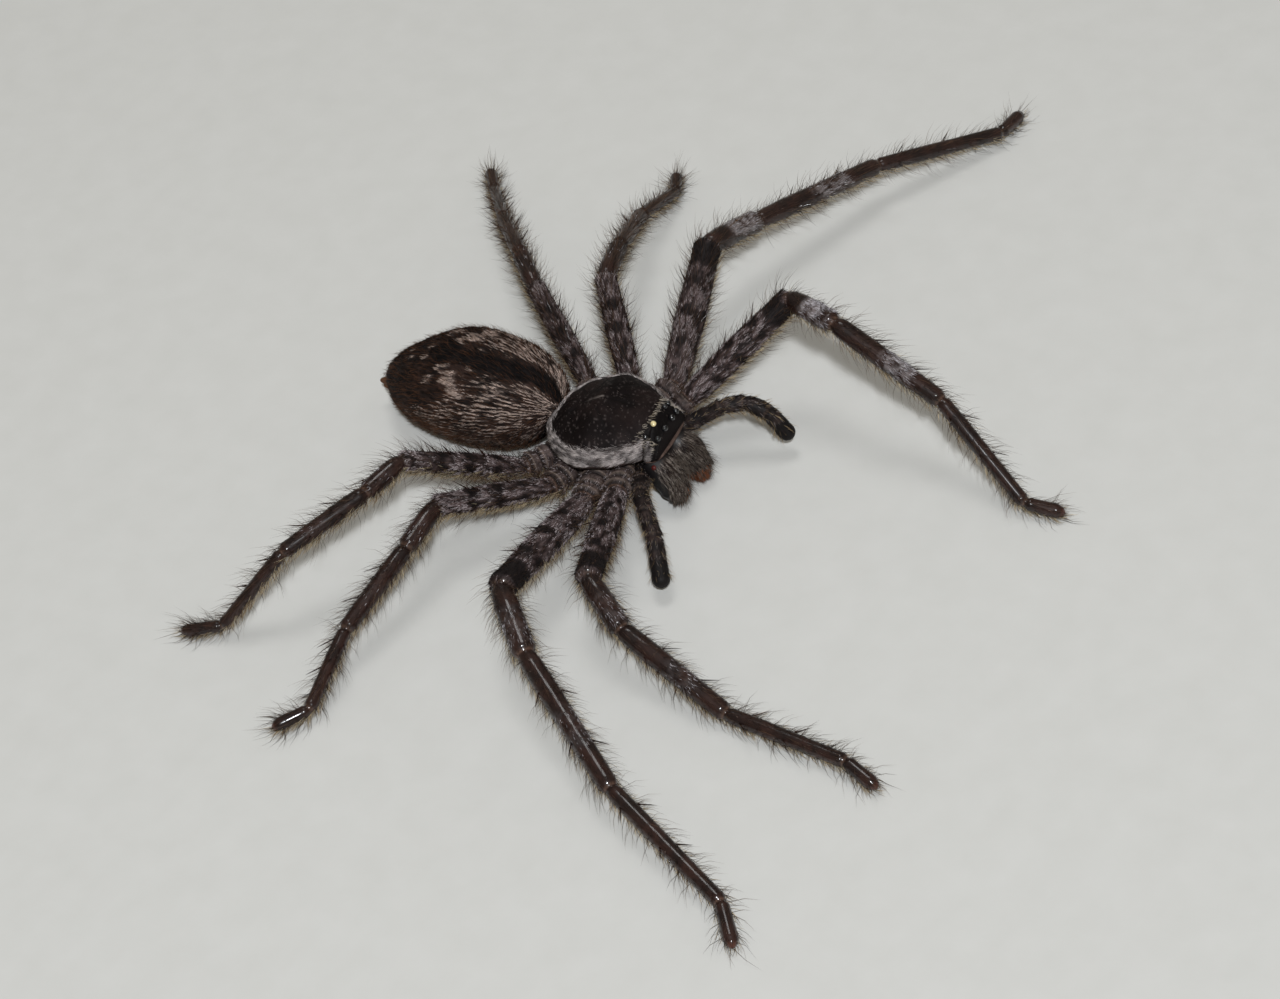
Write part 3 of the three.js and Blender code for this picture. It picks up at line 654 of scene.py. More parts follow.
def leg_joints(name, pair):
    """Root in the body, hip, and the five joints after it."""
    side = 1 if name == "left" else -1
    forward, left, above = HIPS[pair]
    joints = [spot(forward, side * left, above)]
    for k in range(5):
        reach = LEG_LENGTHS[pair][k]
        goal = ANKLE_HEIGHT if k == 3 else TOE_HEIGHT
        if k < 3:
            climb = LEG_CLIMBS[name][pair][k]
        else:
            climb = math.degrees(math.asin((goal - joints[-1][2]) / reach))
        joints.append(joints[-1] + heading(side, LEG_HEADINGS[name][pair][k], climb) * reach)
    root = spot(CORE_CENTRE + HIP_ROOTS[pair], side * 1.2, -2.45)
    return np.array([root] + joints)


# Radius along each leg piece from femur to tarsus, as a share of its own
PIECE_SHAPES = [
    [(0, 0.8), (0.16, 0.98), (0.5, 1.06), (0.88, 0.96), (0.97, 0.98), (1, 0.8)],
    [(0, 0.86), (0.3, 1.02), (0.9, 1.0), (1, 0.84)],
    [(0, 0.86), (0.08, 1.0), (0.25, 1.04), (0.6, 1.0), (0.94, 0.96), (1, 0.82)],
    [(0, 0.84), (0.06, 0.98), (0.3, 1.0), (0.7, 0.94), (0.96, 0.92), (1, 0.8)],
    [(0, 0.84), (0.12, 0.98), (0.78, 1.06), (0.9, 0.84), (0.97, 0.5), (1, 0.2)],
]

# Places of the skin folds on the hip, before its joint
FOLDS = (-2.75, -1.6, -0.5)


def leg_radius(stops, run, pair):
    """Radius along a whole leg, with folds at the hip and a narrow neck at each joint."""
    t = np.clip(run / stops[1], 0, 1)
    r = HIP_RADII[pair]
    radius = along([(0, r), (0.62, r), (0.76, r * 0.92), (0.9, r * 0.98), (1, r * 0.86)], t)
    for k, shape in enumerate(PIECE_SHAPES):
        t = np.clip((run - stops[k + 1]) / (stops[k + 2] - stops[k + 1]), 0, 1)
        radius = np.where(run >= stops[k + 1], LEG_RADII[pair][k] * along(shape, t), radius)
    for fold in FOLDS:
        x = run - stops[1] - fold
        radius = radius + 0.08 * bell(x, 0.17) - 0.24 * bell(x - 0.27, 0.12)
    for k in range(1, 6):
        x = run - stops[k]
        radius = radius * (1 - (0.08 if k == 1 else 0.12) * bell(x, 0.2))
        radius = radius + 0.025 * bell(x + 0.38, 0.16) + 0.02 * bell(x - 0.42, 0.16)
    return radius - COAT_DEPTH


def leg_spots(runs, stops, around, pair, fine):
    """Round black spots in a row on the femur, and a black ring at its end on the front legs."""
    length = stops[2] - stops[1]
    dark = np.zeros_like(runs)
    for place, size in ((0.26, 0.5), (0.48, 0.6), (0.7, 0.54)):
        for turn, share in ((-0.1, 1.0), (1.3, 0.85), (-1.4, 0.85)):
            wide = (around - turn) * LEG_RADII[pair][0]
            far = np.hypot(runs - stops[1] - place * length, wide) / (size * share)
            dark = np.maximum(dark, fade(0.75, 1.1, far + (fine - 0.5) * 0.4))
    if pair < 2:
        share = (runs - stops[1]) / length + (fine - 0.5) * 0.06
        dark = np.maximum(dark, ease(0.78, 0.83, share) * fade(0.96, 0.99, share))
    return dark


# How white the patches of the front legs are, and of every other leg
WHITE_LEGS = {("left", 0): 0.8, ("left", 1): 0.8, ("right", 0): 0.13, ("right", 1): 0.13}
WHITE_ELSEWHERE = 0.04


def white_patches(runs, stops, top, fine):
    """The shape of the white hair on the patella and the outer half of the tibia."""
    patella = (runs - stops[2]) / (stops[3] - stops[2])
    tibia = (runs - stops[3]) / (stops[4] - stops[3])
    first = ease(0.3, 0.42, patella) * fade(0.85, 0.95, patella)
    second = ease(0.4, 0.48, tibia) * fade(0.66, 0.76, tibia)
    return (first + second * 0.9) * ease(0.35, 0.6, fine) * ease(-0.3, 0.4, top)


def leg_patch(name, pair, region):
    """A whole leg as one skin, with its paint and the weights for its hair."""
    line, stops, run = smooth_line(leg_joints(name, pair), 0.11, 0.4)
    points, angle = tube_grid(line, leg_radius(stops, run, pair), 32, 0.02)
    runs = np.broadcast_to(run[:, None], points.shape[:2])
    around = np.broadcast_to(wrapped(angle), runs.shape)
    blot = mottle(points, 0.9, 3)
    fine = mottle(points, 2.4, 5)
    streaky = noise(np.stack([runs * 0.8, around * 3.0, runs * 0 + pair * 7.3], -1), 2.4, 9)
    clumps = noise(np.stack([runs * 0.9, around * 1.4, runs * 0 + pair * 3.1], -1), 0.9, 11)
    spots = leg_spots(runs, stops, around, pair, fine)
    whiteness = WHITE_LEGS.get((name, pair), WHITE_ELSEWHERE)
    white = white_patches(runs, stops, np.cos(around), fine) * whiteness
    femur = blend((30, 22, 21), (80, 67, 66), ease(0.35, 0.65, streaky))
    shank = blend((24, 12, 10), (44, 25, 20), ease(0.3, 0.7, blot))
    paint = blend(femur, shank, ease(stops[2] - 0.5, stops[2] + 0.5, runs))
    hip = blend((40, 32, 30), (96, 83, 79), ease(0.3, 0.7, fine))
    paint = blend(paint, hip, fade(stops[1] - 0.5, stops[1] + 0.3, runs) * 0.7)
    paint = blend(paint, BLACK, spots * 0.95)
    paint = blend(paint, (150, 142, 142), white * 0.7)
    for fold in FOLDS:
        x = runs - stops[1] - fold
        # painted shade: black in each fold's groove
        paint = blend(paint, BLACK, bell(x - 0.25, 0.16) * 0.95)
        paint = blend(paint, (150, 132, 118), bell(x - 0.03, 0.06) * 0.35)
    for k in range(1, 6):
        x = runs - stops[k]
        paint = blend(paint, (120, 92, 76), bell(x + 0.05, 0.09) * (0.2 if k == 2 else 0.4))
    paint = blend(paint, (96, 54, 42), ease(stops[6] - 0.5, stops[6], runs) * 0.6)
    patch = Patch(points, paint, region)
    patch.stops, patch.distance, patch.around_angle = stops, run, around
    patch.white, patch.whiteness = white, whiteness
    before = [leg_spots(runs + reach, stops, around, pair, fine) for reach in (0.2, 0.42)]
    patch.spots = np.maximum(spots, np.maximum(*before))
    patch.flecks = ease(0.44, 0.58, streaky * 0.65 + clumps * 0.35) * (1 - patch.spots)
    patch.folded = ease(stops[1] - 0.4, stops[1] + 0.4, runs)
    return patch


def shield_half_width(u):
    """Half the width of the shield from its hind end (0) to its front (1)."""
    rounded = np.sqrt(np.maximum(0, 1 - (2 * u - 1) ** 2))
    head = along([(0, 0.97), (0.4, 1), (0.65, 0.9), (0.8, 0.84), (0.89, 0.88), (1, 0.75)], u)
    share = HEAD_HALF_WIDTH / SHIELD_HALF_WIDTH
    blunt = along([(0, 0), (0.68, 0), (0.96, share * 1.11), (1, share)], u)
    return SHIELD_HALF_WIDTH * np.maximum(rounded * head * 1.02, blunt)


def shield_height(u, v):
    """Height of the shield over its margin; v is -1 to 1 across it."""
    crown = along([(0, 0.1), (0.22, 0.6), (0.48, 1), (0.76, 0.96), (0.92, 0.84), (1, 0.55)], u)
    return SHIELD_DOME * crown * np.maximum(0, 1 - v * v) ** 0.68


def shield_patch():
    """The head and thorax shield, with its groove, radiating furrows and pale rim."""
    rows, half = SHIELD_GRID
    u = crowded(rows)
    width = shield_half_width(u)
    endways, sideways = np.meshgrid(u, np.cos(np.linspace(math.pi, 0, half)), indexing="ij")
    forward = -SHIELD_BACK + endways * SHIELD_LENGTH
    left = sideways * width[:, None]
    rim = shield_rim(endways, sideways, width)
    groove = bell(left, 0.13) * ease(-2.9, -2.2, forward) * fade(-0.9, -0.3, forward)
    turn = np.arctan2(left, forward + 1.6)
    far = np.hypot(left, forward + 1.6)
    furrow = np.maximum(0, np.cos(turn * 8)) ** 8 * ease(0.8, 1.8, far) * fade(3.4, 4.8, far)
    neck = bell(np.abs(left) - 0.55 * (forward - 0.2) - 0.4, 0.35) * ease(0, 1, forward)
    height = shield_height(endways, sideways) - 0.22 * groove - 0.07 * furrow
    height = height - 0.12 * neck * fade(3.0, 4.5, forward)
    top = body_spots(forward, left, height - COAT_DEPTH * 0.4, SHIELD_TURN)
    drop = -SHIELD_EDGE + 0.03 + 0.28 * ease(2.5, 4.5, forward)
    below = body_spots(forward, left * 0.97, drop, SHIELD_TURN)[:, ::-1]
    paint = shield_paint(top, forward, left, rim, furrow)
    points = np.concatenate([top, below], 1)
    paint = np.concatenate([paint, np.broadcast_to(DARK, below.shape)], 1)
    patch = Patch(*with_front_face(points, paint))
    patch.rim, patch.forward, patch.left = rim, forward, left
    return patch


def with_front_face(points, paint):
    """Closes the head in front with a low bulging black face."""
    ring = points[-1]
    bulge = np.array([math.sin(SHIELD_TURN), -math.cos(SHIELD_TURN), 0]) * 0.16
    hub = ring.mean(0) + bulge
    shares = np.arange(1, 9)[:, None, None] / 9
    face = ring * (1 - shares) + hub * shares + bulge * (np.sqrt(shares) - shares)
    black = np.broadcast_to(tint(22, 17, 17), face.shape)
    return np.concatenate([points, face]), np.concatenate([paint, black])


# Forward and left of the lip's bends, from the middle outwards
LIP_BENDS = [(5.76, 0), (5.72, 1.2), (5.6, 2.2), (5.3, 2.82), (4.75, 3.12)]


def lip_patch():
    """A thin brown lip along the lower front edge of the head."""
    places = LIP_BENDS[:0:-1] + [(forward, -left) for forward, left in LIP_BENDS]
    forward, left = np.array(places).T
    line, _, run = smooth_line(body_spots(forward, left, -0.3, SHIELD_TURN), 0.1, 0.3)
    radius = 0.15 * along([(0, 0.3), (0.1, 1), (0.9, 1), (1, 0.3)], run / run[-1])
    points = tube_grid(line, radius, 12)[0]
    return Patch(points, blend((48, 36, 32), (104, 86, 78), mottle(points, 3.0, 27)))


def shield_rim(endways, sideways, width):
    """How far inside the rim a place is, in millimetres."""
    across = (1 - np.abs(sideways)) * width[:, None]
    behind = endways * SHIELD_LENGTH
    return np.minimum(across * 1.15, behind * 1.1)


def shield_paint(top, forward, left, rim, furrow):
    """Black with small pale specks, a painted highlight as a pale line in the groove, a grey rim and a black
    eye region.
    """
    fine = mottle(top, 2.6, 22)
    paint = blend((15, 10, 10), (30, 22, 21), ease(0.35, 0.75, mottle(top, 0.5, 21)))
    paint = blend(paint, GREY_HAIR, ease(0.74, 0.84, noise(top, 7.0, 24)) * 0.12)
    paint = blend(paint, (12, 9, 9), furrow * 0.7)
    # painted highlight: a pale streak along the groove
    groove_highlight = bell(left - 0.05 * (forward + 1.5), 0.055) * ease(-2.2, -1.9, forward) * fade(-0.5, -0.1, forward)
    paint = blend(paint, (150, 140, 134), groove_highlight * 0.8)
    edge = fade(0.3, 1.0, rim + (fine - 0.5) * 1.0)
    paint = blend(paint, blend(FEMUR_DARK, FEMUR, fine), edge * fade(4.6, 5.2, forward))
    return blend(paint, (14, 11, 11), ease(4.1, 4.5, forward) * 0.85)


def abdomen_shape(u):
    """Shares of width, height and depth, and the rise, from front (0) to back (1)."""
    reach = np.abs(2 * u - 1)
    front = np.maximum(0, 1 - reach ** 2.5) ** 0.5
    plan = np.where(u < 0.45, front, np.maximum(0, 1 - reach ** 1.85) ** 0.72)
    over = np.where(u < 0.45, front, np.maximum(0, 1 - reach ** 2.4) ** 0.56)
    under = np.where(u < 0.45, front, np.maximum(0, 1 - reach ** 1.8) ** 0.78)
    rise = along([(0, -0.3), (0.5, ABDOMEN_RISE), (1, ABDOMEN_DROOP)], u)
    return plan, over, under, rise


def abdomen_patch():
    """The abdomen: column 0 is the middle of the back."""
    rows, columns = 260, 320
    u = crowded(rows)
    plan, over, under, rise = abdomen_shape(u)
    angle = np.arange(columns) / columns * TURN
    up = np.cos(angle)[None]
    tall = np.where(up > 0, ABDOMEN_HALF_HEIGHT * over[:, None], ABDOMEN_BELLY * under[:, None])
    forward = ABDOMEN_CENTRE + ABDOMEN_LENGTH * (0.5 - u) - 0.3 * ease(0.7, 1, u)
    left = -np.sin(angle)[None] * (ABDOMEN_HALF_WIDTH * plan)[:, None]
    points = body_spots(forward[:, None], left, rise[:, None] + up * tall)
    ripple = (mottle(points, 0.8, 31) - 0.5) * 0.16
    normal = Patch(points, np.zeros_like(points)).normal
    points = points - normal * COAT_DEPTH + normal * ripple[..., None]
    paint, pale = abdomen_paint(points, u, angle)
    patch = Patch(points, paint)
    patch.pale = pale
    return patch


# Cream spots of the abdomen, both sides alike: place from front (0) to back (1), turn from the
# middle of the back, length, width and strength
CREAM_SPOTS = [
    (0.54, 0.3, 0.03, 0.12, 0.9), (0.49, 0.45, 0.04, 0.16, 1.0), (0.44, 0.7, 0.035, 0.16, 0.9),
    (0.25, 0.5, 0.035, 0.12, 0.95), (0.29, 0.62, 0.03, 0.1, 0.9), (0.21, 0.38, 0.03, 0.08, 0.7),
    (0.28, 0.24, 0.02, 0.05, 0.8), (0.8, 0.13, 0.02, 0.05, 0.55), (0.69, 0.13, 0.02, 0.06, 0.65),
    (0.61, 0.58, 0.03, 0.12, 0.6), (0.56, 0.28, 0.015, 0.05, 0.45), (0.41, 0.17, 0.02, 0.05, 0.55),
    (0.08, 0.42, 0.06, 0.16, 0.8), (0.15, 0.34, 0.04, 0.1, 0.6),
]


# Half width of the black stripe, as a turn from the middle, from front to back
STRIPE = [
    (0, 0.3), (0.1, 0.25), (0.2, 0.19), (0.3, 0.16), (0.4, 0.2), (0.5, 0.14), (0.57, 0.26), (0.65, 0.1),
    (1, 0.1),
]


def abdomen_paint(points, u, angle):
    """Black stripe, cream spots, wavy streaks on the flanks; also how pale the hair is."""
    shape = (len(u), len(angle))
    endways = np.broadcast_to(u[:, None], shape)
    side = np.broadcast_to(wrapped(angle), shape)
    blot = mottle(points, 0.55, 41)
    fine = mottle(points, 1.9, 42)
    grain = noise(np.stack([endways * 30, side * 26, side * 0], -1), 1.0, 48)
    centre = along([(0, -0.1), (0.1, -0.03), (0.2, 0.11), (0.35, 0.18), (0.6, 0.2), (1, 0.1)], endways)
    off = np.abs(side - centre * fade(1.0, 2.0, np.abs(side)))
    warp = (noise(points, 0.45, 44) - 0.5) * 15 + (noise(points, 1.3, 45) - 0.5) * 8
    broken = ease(0.22, 0.42, noise(points * np.array([1, 1, 1.5]), 1.1, 46))
    line = ease(0.35, 0.85, np.cos(side * 84 + warp)) * broken * ease(0.12, 0.38, grain)
    torn = 0.3 + 0.7 * ease(0.32, 0.5, noise(points, 2.7, 49))
    pale = np.zeros(shape)
    for place, turned, long, wide, strength in CREAM_SPOTS:
        far = np.hypot((endways - place) / long, (off - turned) / wide) + (fine - 0.5) * 1.3
        far = far + (grain - 0.5) * 1.6
        lined = 0.35 + 0.65 * line if place < 0.3 else 1.0
        pale = np.maximum(pale, fade(0.7, 1.15, far) * strength * lined * torn)
    reach_back = 0.42 + 0.34 * ease(0.6, 1.5, off)
    zone = fade(reach_back - 0.12, reach_back + 0.1, endways + (blot - 0.5) * 0.25)
    zone = zone * ease(0.24, 0.42, off) * fade(1.8, 2.6, off)
    pale = np.maximum(pale, line * zone * (1 - 0.3 * ease(0.9, 1.6, off)))
    stripe = fade(0.85, 1.08, off / along(STRIPE, endways) + (fine - 0.5) * 0.8) * fade(0.62, 0.72, endways)
    pale = pale * (1 - stripe)
    paint = blend((20, 14, 13), (48, 34, 29), ease(0.35, 0.7, blot * 0.5 + fine * 0.5))
    paint = blend(paint, (14, 10, 10), stripe * 0.95)
    paint = blend(paint, (104, 68, 44), ease(1.25, 1.9, off) * ease(0.3, 0.6, endways) * 0.6)
    return blend(paint, CREAM * 0.6, pale * 0.3), pale


def jaw_patch(side, region):
    """One jaw: a bulging segment that narrows to the fang; its base and outer side are painted black, which
    is painted shade and partly bare shell.
    """
    start = spot(4.6, side * (JAW_SPREAD - 0.12), -1.1)
    splay, share = (0.2, 0.94) if side > 0 else (-0.5, 0.88)
    drop = unit(np.array([splay, -2.1, -3.1]))
    t = np.linspace(0, 1, 90)
    line = start + drop * (t * JAW_LENGTH * share)[:, None]
    line = line + np.array([0, -1, 0.35]) * (np.sin(t * math.pi) * 0.5)[:, None]
    r = JAW_RADIUS
    radius = along([(0, r * 0.8), (0.35, r * 1.0), (0.72, r * 0.84), (0.93, r * 0.54), (1, r * 0.2)], t)
    points, angle = tube_grid(line, radius - 0.04, 72, 0.12)
    fine = mottle(points, 2.4, 51)
    endways = np.broadcast_to(t[:, None], fine.shape)
    front = np.cos(angle)[None]
    outer = -side * np.sin(angle)[None]
    wave = np.cos(angle[None] * 26 + (noise(points, 0.9, 53) - 0.5) * 9)
    paint = blend((30, 24, 22), (74, 64, 58), ease(0.3, 0.7, fine * 0.5 + 0.25 * wave + 0.25))
    # painted shade: the base under the head and the outer side are painted black; the outer side is partly
    # bare black shell too
    base = fade(0.1, 0.24, endways + (fine - 0.5) * 0.1)
    bare_and_shaded = np.maximum(base, ease(0.55, 0.9, outer + (fine - 0.5) * 0.3))
    if side < 0:
        bare_and_shaded = np.maximum(bare_and_shaded, ease(0.82, 0.95, endways))
    paint = blend(paint, (13, 11, 13), bare_and_shaded * 0.95)
    inner = ease(0.1, 0.7, -outer)
    end = ease(0.6, 0.85, endways) * inner * (1.0 if side > 0 else 0.05)
    paint = blend(paint, (118, 70, 40), end * 0.6)
    patch = Patch(points, paint, region)
    patch.hairy = (1 - bare_and_shaded) * ease(-0.5, 0.0, front + 0.3)
    patch.pale = ease(-0.2, 0.5, wave) * ease(0.3, 0.5, fine)
    patch.fringe = ease(0.62, 0.85, endways) * inner * (1.0 if side > 0 else 0.3) + 1e-6
    return patch


def boss_patches():
    """A red glossy boss at the base of each jaw, on its outer side."""
    places = (spot(5.45, -2.5, -0.98), spot(5.1, 2.3, -1.5))
    return [plain_patch(ball_arrays(place, 0.24), tint(76, 15, 8)) for place in places]


def palp_patch(name, region):
    """One palp, ringed at its joints, with a round dark tip."""
    inner = spot(3.1, 1.9 if name == "left" else -1.9, -2.5)
    joints = np.array([inner] + [spot(*p) for p in PALPS[name]])
    line, stops, run = smooth_line(joints, 0.1, 0.35)
    length = stops[-1]
    r = PALP_RADIUS
    shape = [(0, r * 1.45), (0.2, r * 1.15), (0.32, r * 0.98), (0.8, r * 1.04), (1, r * 1.1)]
    rounding = np.clip((length - run) / r, 0, 1)
    radius = along(shape, run / length) * np.maximum(np.sqrt(1 - (1 - rounding) ** 2), 0.12)
    rings = stops[1:5] + np.array([0.7, 0, 0, 0])
    for ring in rings:
        x = run - ring
        radius = radius - 0.11 * bell(x, 0.16) + 0.05 * bell(x + 0.3, 0.13)
    points, angle = tube_grid(line, np.maximum(radius - 0.06, 0.04), 28, 0.1)
    fine = mottle(points, 2.2, 61)
    paint = blend((18, 13, 13), (50, 39, 36), ease(0.35, 0.75, fine))
    runs = np.broadcast_to(run[:, None], fine.shape)
    for ring in rings:
        paint = blend(paint, (112, 92, 80), bell(runs - ring + 0.2, 0.07) * 0.3)
    tip = ease(length - 2.4, length - 1.6, runs)
    # the tip is dark; the base by the body is darkened as painted shade
    paint = blend(paint, (14, 11, 11), np.maximum(tip, fade(1.5, 2.6, runs)) * 0.9)
    end_bare = fade(length - 1.25, length - 0.85, runs)
    patch = Patch(points, paint, region)
    patch.covered = end_bare + 1e-6
    patch.below = ease(-0.2, 0.6, -np.cos(angle))[None] * end_bare
    outer_half = 1 - ease(stops[3], stops[4] + 1, runs) * 0.6
    patch.flecks = ease(0.42, 0.62, fine) * (1 - tip * 0.95) * outer_half + 0.01 * end_bare
    return patch


def sternum_patch():
    """Breast plate and underside of the core."""
    levels = np.linspace(0, 1, 26)[:, None]
    share = along([(0, 0.94), (0.2, 1), (0.75, 1), (0.92, 0.9), (1, 0.6)], levels)
    angle = np.arange(60) / 60 * TURN
    forward = CORE_CENTRE + np.cos(angle) * (3.62 * share)
    points = body_spots(forward, np.sin(angle) * (2.62 * share), -0.9 - levels * 3.1)
    return Patch(points, blend((70, 52, 42), (110, 86, 70), mottle(points, 1.8, 71)))


def pedicel_patch():
    """The waist between shield and abdomen."""
    line = np.linspace(spot(-3.6, 0, -1.8), spot(-6.6, 0, -1.5), 16)
    return plain_patch(tube_grid(line, np.full(16, 0.85), 24)[0], tint(66, 52, 46))


def spinneret_patches():
    """A button and two pairs of blunt cones at the hind end."""
    end = ABDOMEN_CENTRE - ABDOMEN_LENGTH / 2
    cones = [(spot(end + 1.5, 0, -2.3), spot(end - 0.1, 0, -2.7), 1.1)]
    for side in (-1, 1):
        for apart, level, reach in ((0.48, -2.45, 0.9), (0.42, -3.0, 0.7)):
            root = spot(end + 0.2, side * apart * 0.7, level)
            cones.append((root, spot(end - reach, side * apart * 1.2, level - 0.1), 0.4))
    patches = []
    for root, tip, r in cones:
        radius = r * along([(0, 1), (0.6, 0.9), (0.88, 0.62), (1, 0.25)], np.linspace(0, 1, 14)) - 0.03
        points = tube_grid(np.linspace(root, tip, 14), radius, 20)[0]
        patches.append(Patch(points, blend((58, 38, 28), (112, 76, 50), mottle(points, 3.0, 81))))
    return patches


def ball_arrays(centre, radius, rings=14, sectors=20):
    """A ball as points, with its poles closed by narrow rings."""
    a = np.linspace(0.02, math.pi - 0.02, rings)[:, None]
    b = np.arange(sectors) / sectors * TURN
    points = np.broadcast_arrays(np.sin(a) * np.cos(b), np.sin(a) * np.sin(b), np.cos(a))
    return centre + np.stack(points, -1) * radius


def build_eyes():
    """Eight eyes; the right eye of the hind middle pair has a pale lens that is a painted eye-shine glint."""
    patches, pale = [], []
    for side in (-1, 1):
        for k, (forward, left, radius) in enumerate(EYES):
            u = np.array((forward + SHIELD_BACK) / SHIELD_LENGTH)
            height = shield_height(u, left / shield_half_width(u))
            centre = body_spots(forward + 0.04, side * left, height + 0.02, SHIELD_TURN)
            points = ball_arrays(centre, radius)
            patches.append(plain_patch(points, BLACK))
            # the pale eye is a painted eye-shine glint, on one eye only
            pale.append(np.full(points.shape[0] * points.shape[1] + 2, k == 2 and side == -1))
    skin_object("eyes_shining", patches, "eye", ["eyes"], "painted_eyeshine", np.concatenate(pale))


# Forward, left and above of the bends of a folded fang
FANG_BENDS = [(6.9, 2.4, -3.75), (6.85, 2.1, -4.35), (6.55, 1.35, -4.5), (6.2, 0.5, -4.4)]


def fang_patches():
    """Two folded fangs under the jaws."""
    patches = []
    for side in (-1, 1):
        joints = np.array([spot(forward, side * left, above) for forward, left, above in FANG_BENDS])
        line, stops, run = smooth_line(joints, 0.1, 0.2)
        radius = 0.4 * along([(0, 1), (0.3, 0.9), (1, 0.15)], run / stops[-1])
        patches.append(plain_patch(tube_grid(line, radius, 16, 0.1)[0], BLACK))
    return patches


def place_looking(name, data, place, side, up, ahead):
    """Puts a camera or a lamp at a place, looking ahead."""
    thing = bpy.data.objects.new(name, data)
    matrix = np.eye(4)
    matrix[:3, :3] = np.stack([side, up, -ahead], 1)
    matrix[:3, 3] = place * MM
    thing.matrix_world = Matrix(matrix.tolist())
    bpy.context.scene.collection.objects.link(thing)
    return thing


def camera_rig():
    """The photo's camera; gives the point it aims at and its three directions."""
    high, roll, turn = (math.radians(a) for a in (CAMERA_HEIGHT, CAMERA_ROLL, CAMERA_TURN))
    ahead = np.array([-math.sin(turn) * math.cos(high), math.cos(turn) * math.cos(high), -math.sin(high)])
    level = unit(np.cross(ahead, UP))
    upright = np.cross(level, ahead)
    right = level * math.cos(roll) + upright * math.sin(roll)
    up = -level * math.sin(roll) + upright * math.cos(roll)
    aim = spot(*CAMERA_AIM, -MARGIN_HEIGHT)
    data = bpy.data.cameras.new("camera")
    data.lens = CAMERA_LENS
    data.sensor_width = 36.0
    data.sensor_fit = "HORIZONTAL"
    data.clip_start = 0.01
    place = aim - ahead * CAMERA_DISTANCE
    bpy.context.scene.camera = place_looking("camera", data, place, right, up, ahead)
    return aim, ahead, right, up


def lamp(name, place, aim, size, power, colour):
    """A round lamp that shines on a point."""
    data = bpy.data.lights.new(name, "AREA")
    data.color = colour
    data.shape = "DISK"
    data.size = size
    data.energy = power
    ahead = unit(aim - place)
    side = unit(np.cross(ahead, UP))
    place_looking(name, data, place, side, np.cross(side, ahead), ahead)


def light_up(aim, ahead, right, up):
    """The flash by the camera, the weak lamp above and the soft studio."""
    flash = aim - ahead * FLASH_DISTANCE + up * FLASH_RISE + right * FLASH_ASIDE
    lamp("flash", flash, aim, FLASH_SIZE, FLASH_POWER, FLASH_COLOUR)
    level = unit(np.array([ahead[0], ahead[1], 0.0]))
    above = aim + (UP + level * ABOVE_LEAN) * ABOVE_DISTANCE
    lamp("above", above, aim, ABOVE_SIZE, ABOVE_POWER, (1.0, 1.0, 1.0))
    world = bpy.data.worlds.new("studio")
    world.use_nodes = True
    studio = {"Color": STUDIO_COLOUR, "Strength": STUDIO_STRENGTH}
    feed(world.node_tree, world.node_tree.nodes["Background"], studio)
    bpy.context.scene.world = world
    bpy.context.scene.view_settings.view_transform = "Standard"


def build_floor():
    """A pale matt floor just under the feet."""
    material, tree, shader = node_tree("floor_pale")
    grain = object_noise(tree, 300.0, 4.0)
    feed(tree, shader, {
        "Base Color": two_colours(tree, grain, tint(203, 203, 199), tint(211, 211, 208), (0.0, 1.0)),
        "Roughness": 0.9,
        "Normal": add_node(tree, "Bump", {"Strength": 0.15, "Distance": 0.0002, "Height": grain}),
    })
    sides = [(-1, -1), (1, -1), (1, 1), (-1, 1)]
    corners = [(x * FLOOR_HALF, y * FLOOR_HALF, FLOOR_LEVEL) for x, y in sides]
    floor = mesh_object("floor", corners, [(0, 1, 2, 3)], {})
    floor.data.materials.append(material)


LEG_NAMES = [(name, pair) for name in ("left", "right") for pair in range(4)]
LEG_PARTS = ("coxa", "femur", "patella", "tibia", "metatarsus", "tarsus")


def row_weight(patch, start, stop, soft=0.4):
    """Weight for the rows of a leg between two distances."""
    run = patch.distance
    weight = ease(start - soft, start + soft, run) * fade(stop - soft, stop + soft, run)
    return np.repeat(weight[:, None], patch.columns, 1)


def leg_down(patch, rng):
    """Flat hair of one leg: pale flecks and dark down on the femur, sparse hair on the shank."""
    stops = patch.stops
    base = row_weight(patch, stops[1] - 3.6, stops[2] - 0.2) * (0.24 + 0.76 * patch.folded)
    shank = row_weight(patch, stops[2], stops[6] - 0.2)
    return [
        layer("leg_flecks", patch, rng, base * (0.03 * (1 - patch.spots) + patch.flecks)),
        layer("leg_dark", patch, rng, base * (1.1 - patch.flecks), paint=lambda r: r["paint"] * 0.8),
        *layers(patch, rng, shank_dark=shank, shank_flecks=shank * (0.15 + patch.flecks)),
        layer("leg_white", patch, rng, shank * patch.white + 1e-6, patch.whiteness),
    ]


def leg_brush(patch, rng):
    """Hair that stands off one leg: a pale fringe under it, brown hair and long bristles all round."""
    stops = patch.stops
    everywhere = row_weight(patch, stops[1] - 1.5, stops[6] - 0.3)
    below = ease(-0.15, 0.75, -np.cos(patch.around_angle))
    fringe = everywhere * below
    return layers(patch, rng, leg_fringe=fringe, leg_brown=everywhere, leg_bristles=everywhere)


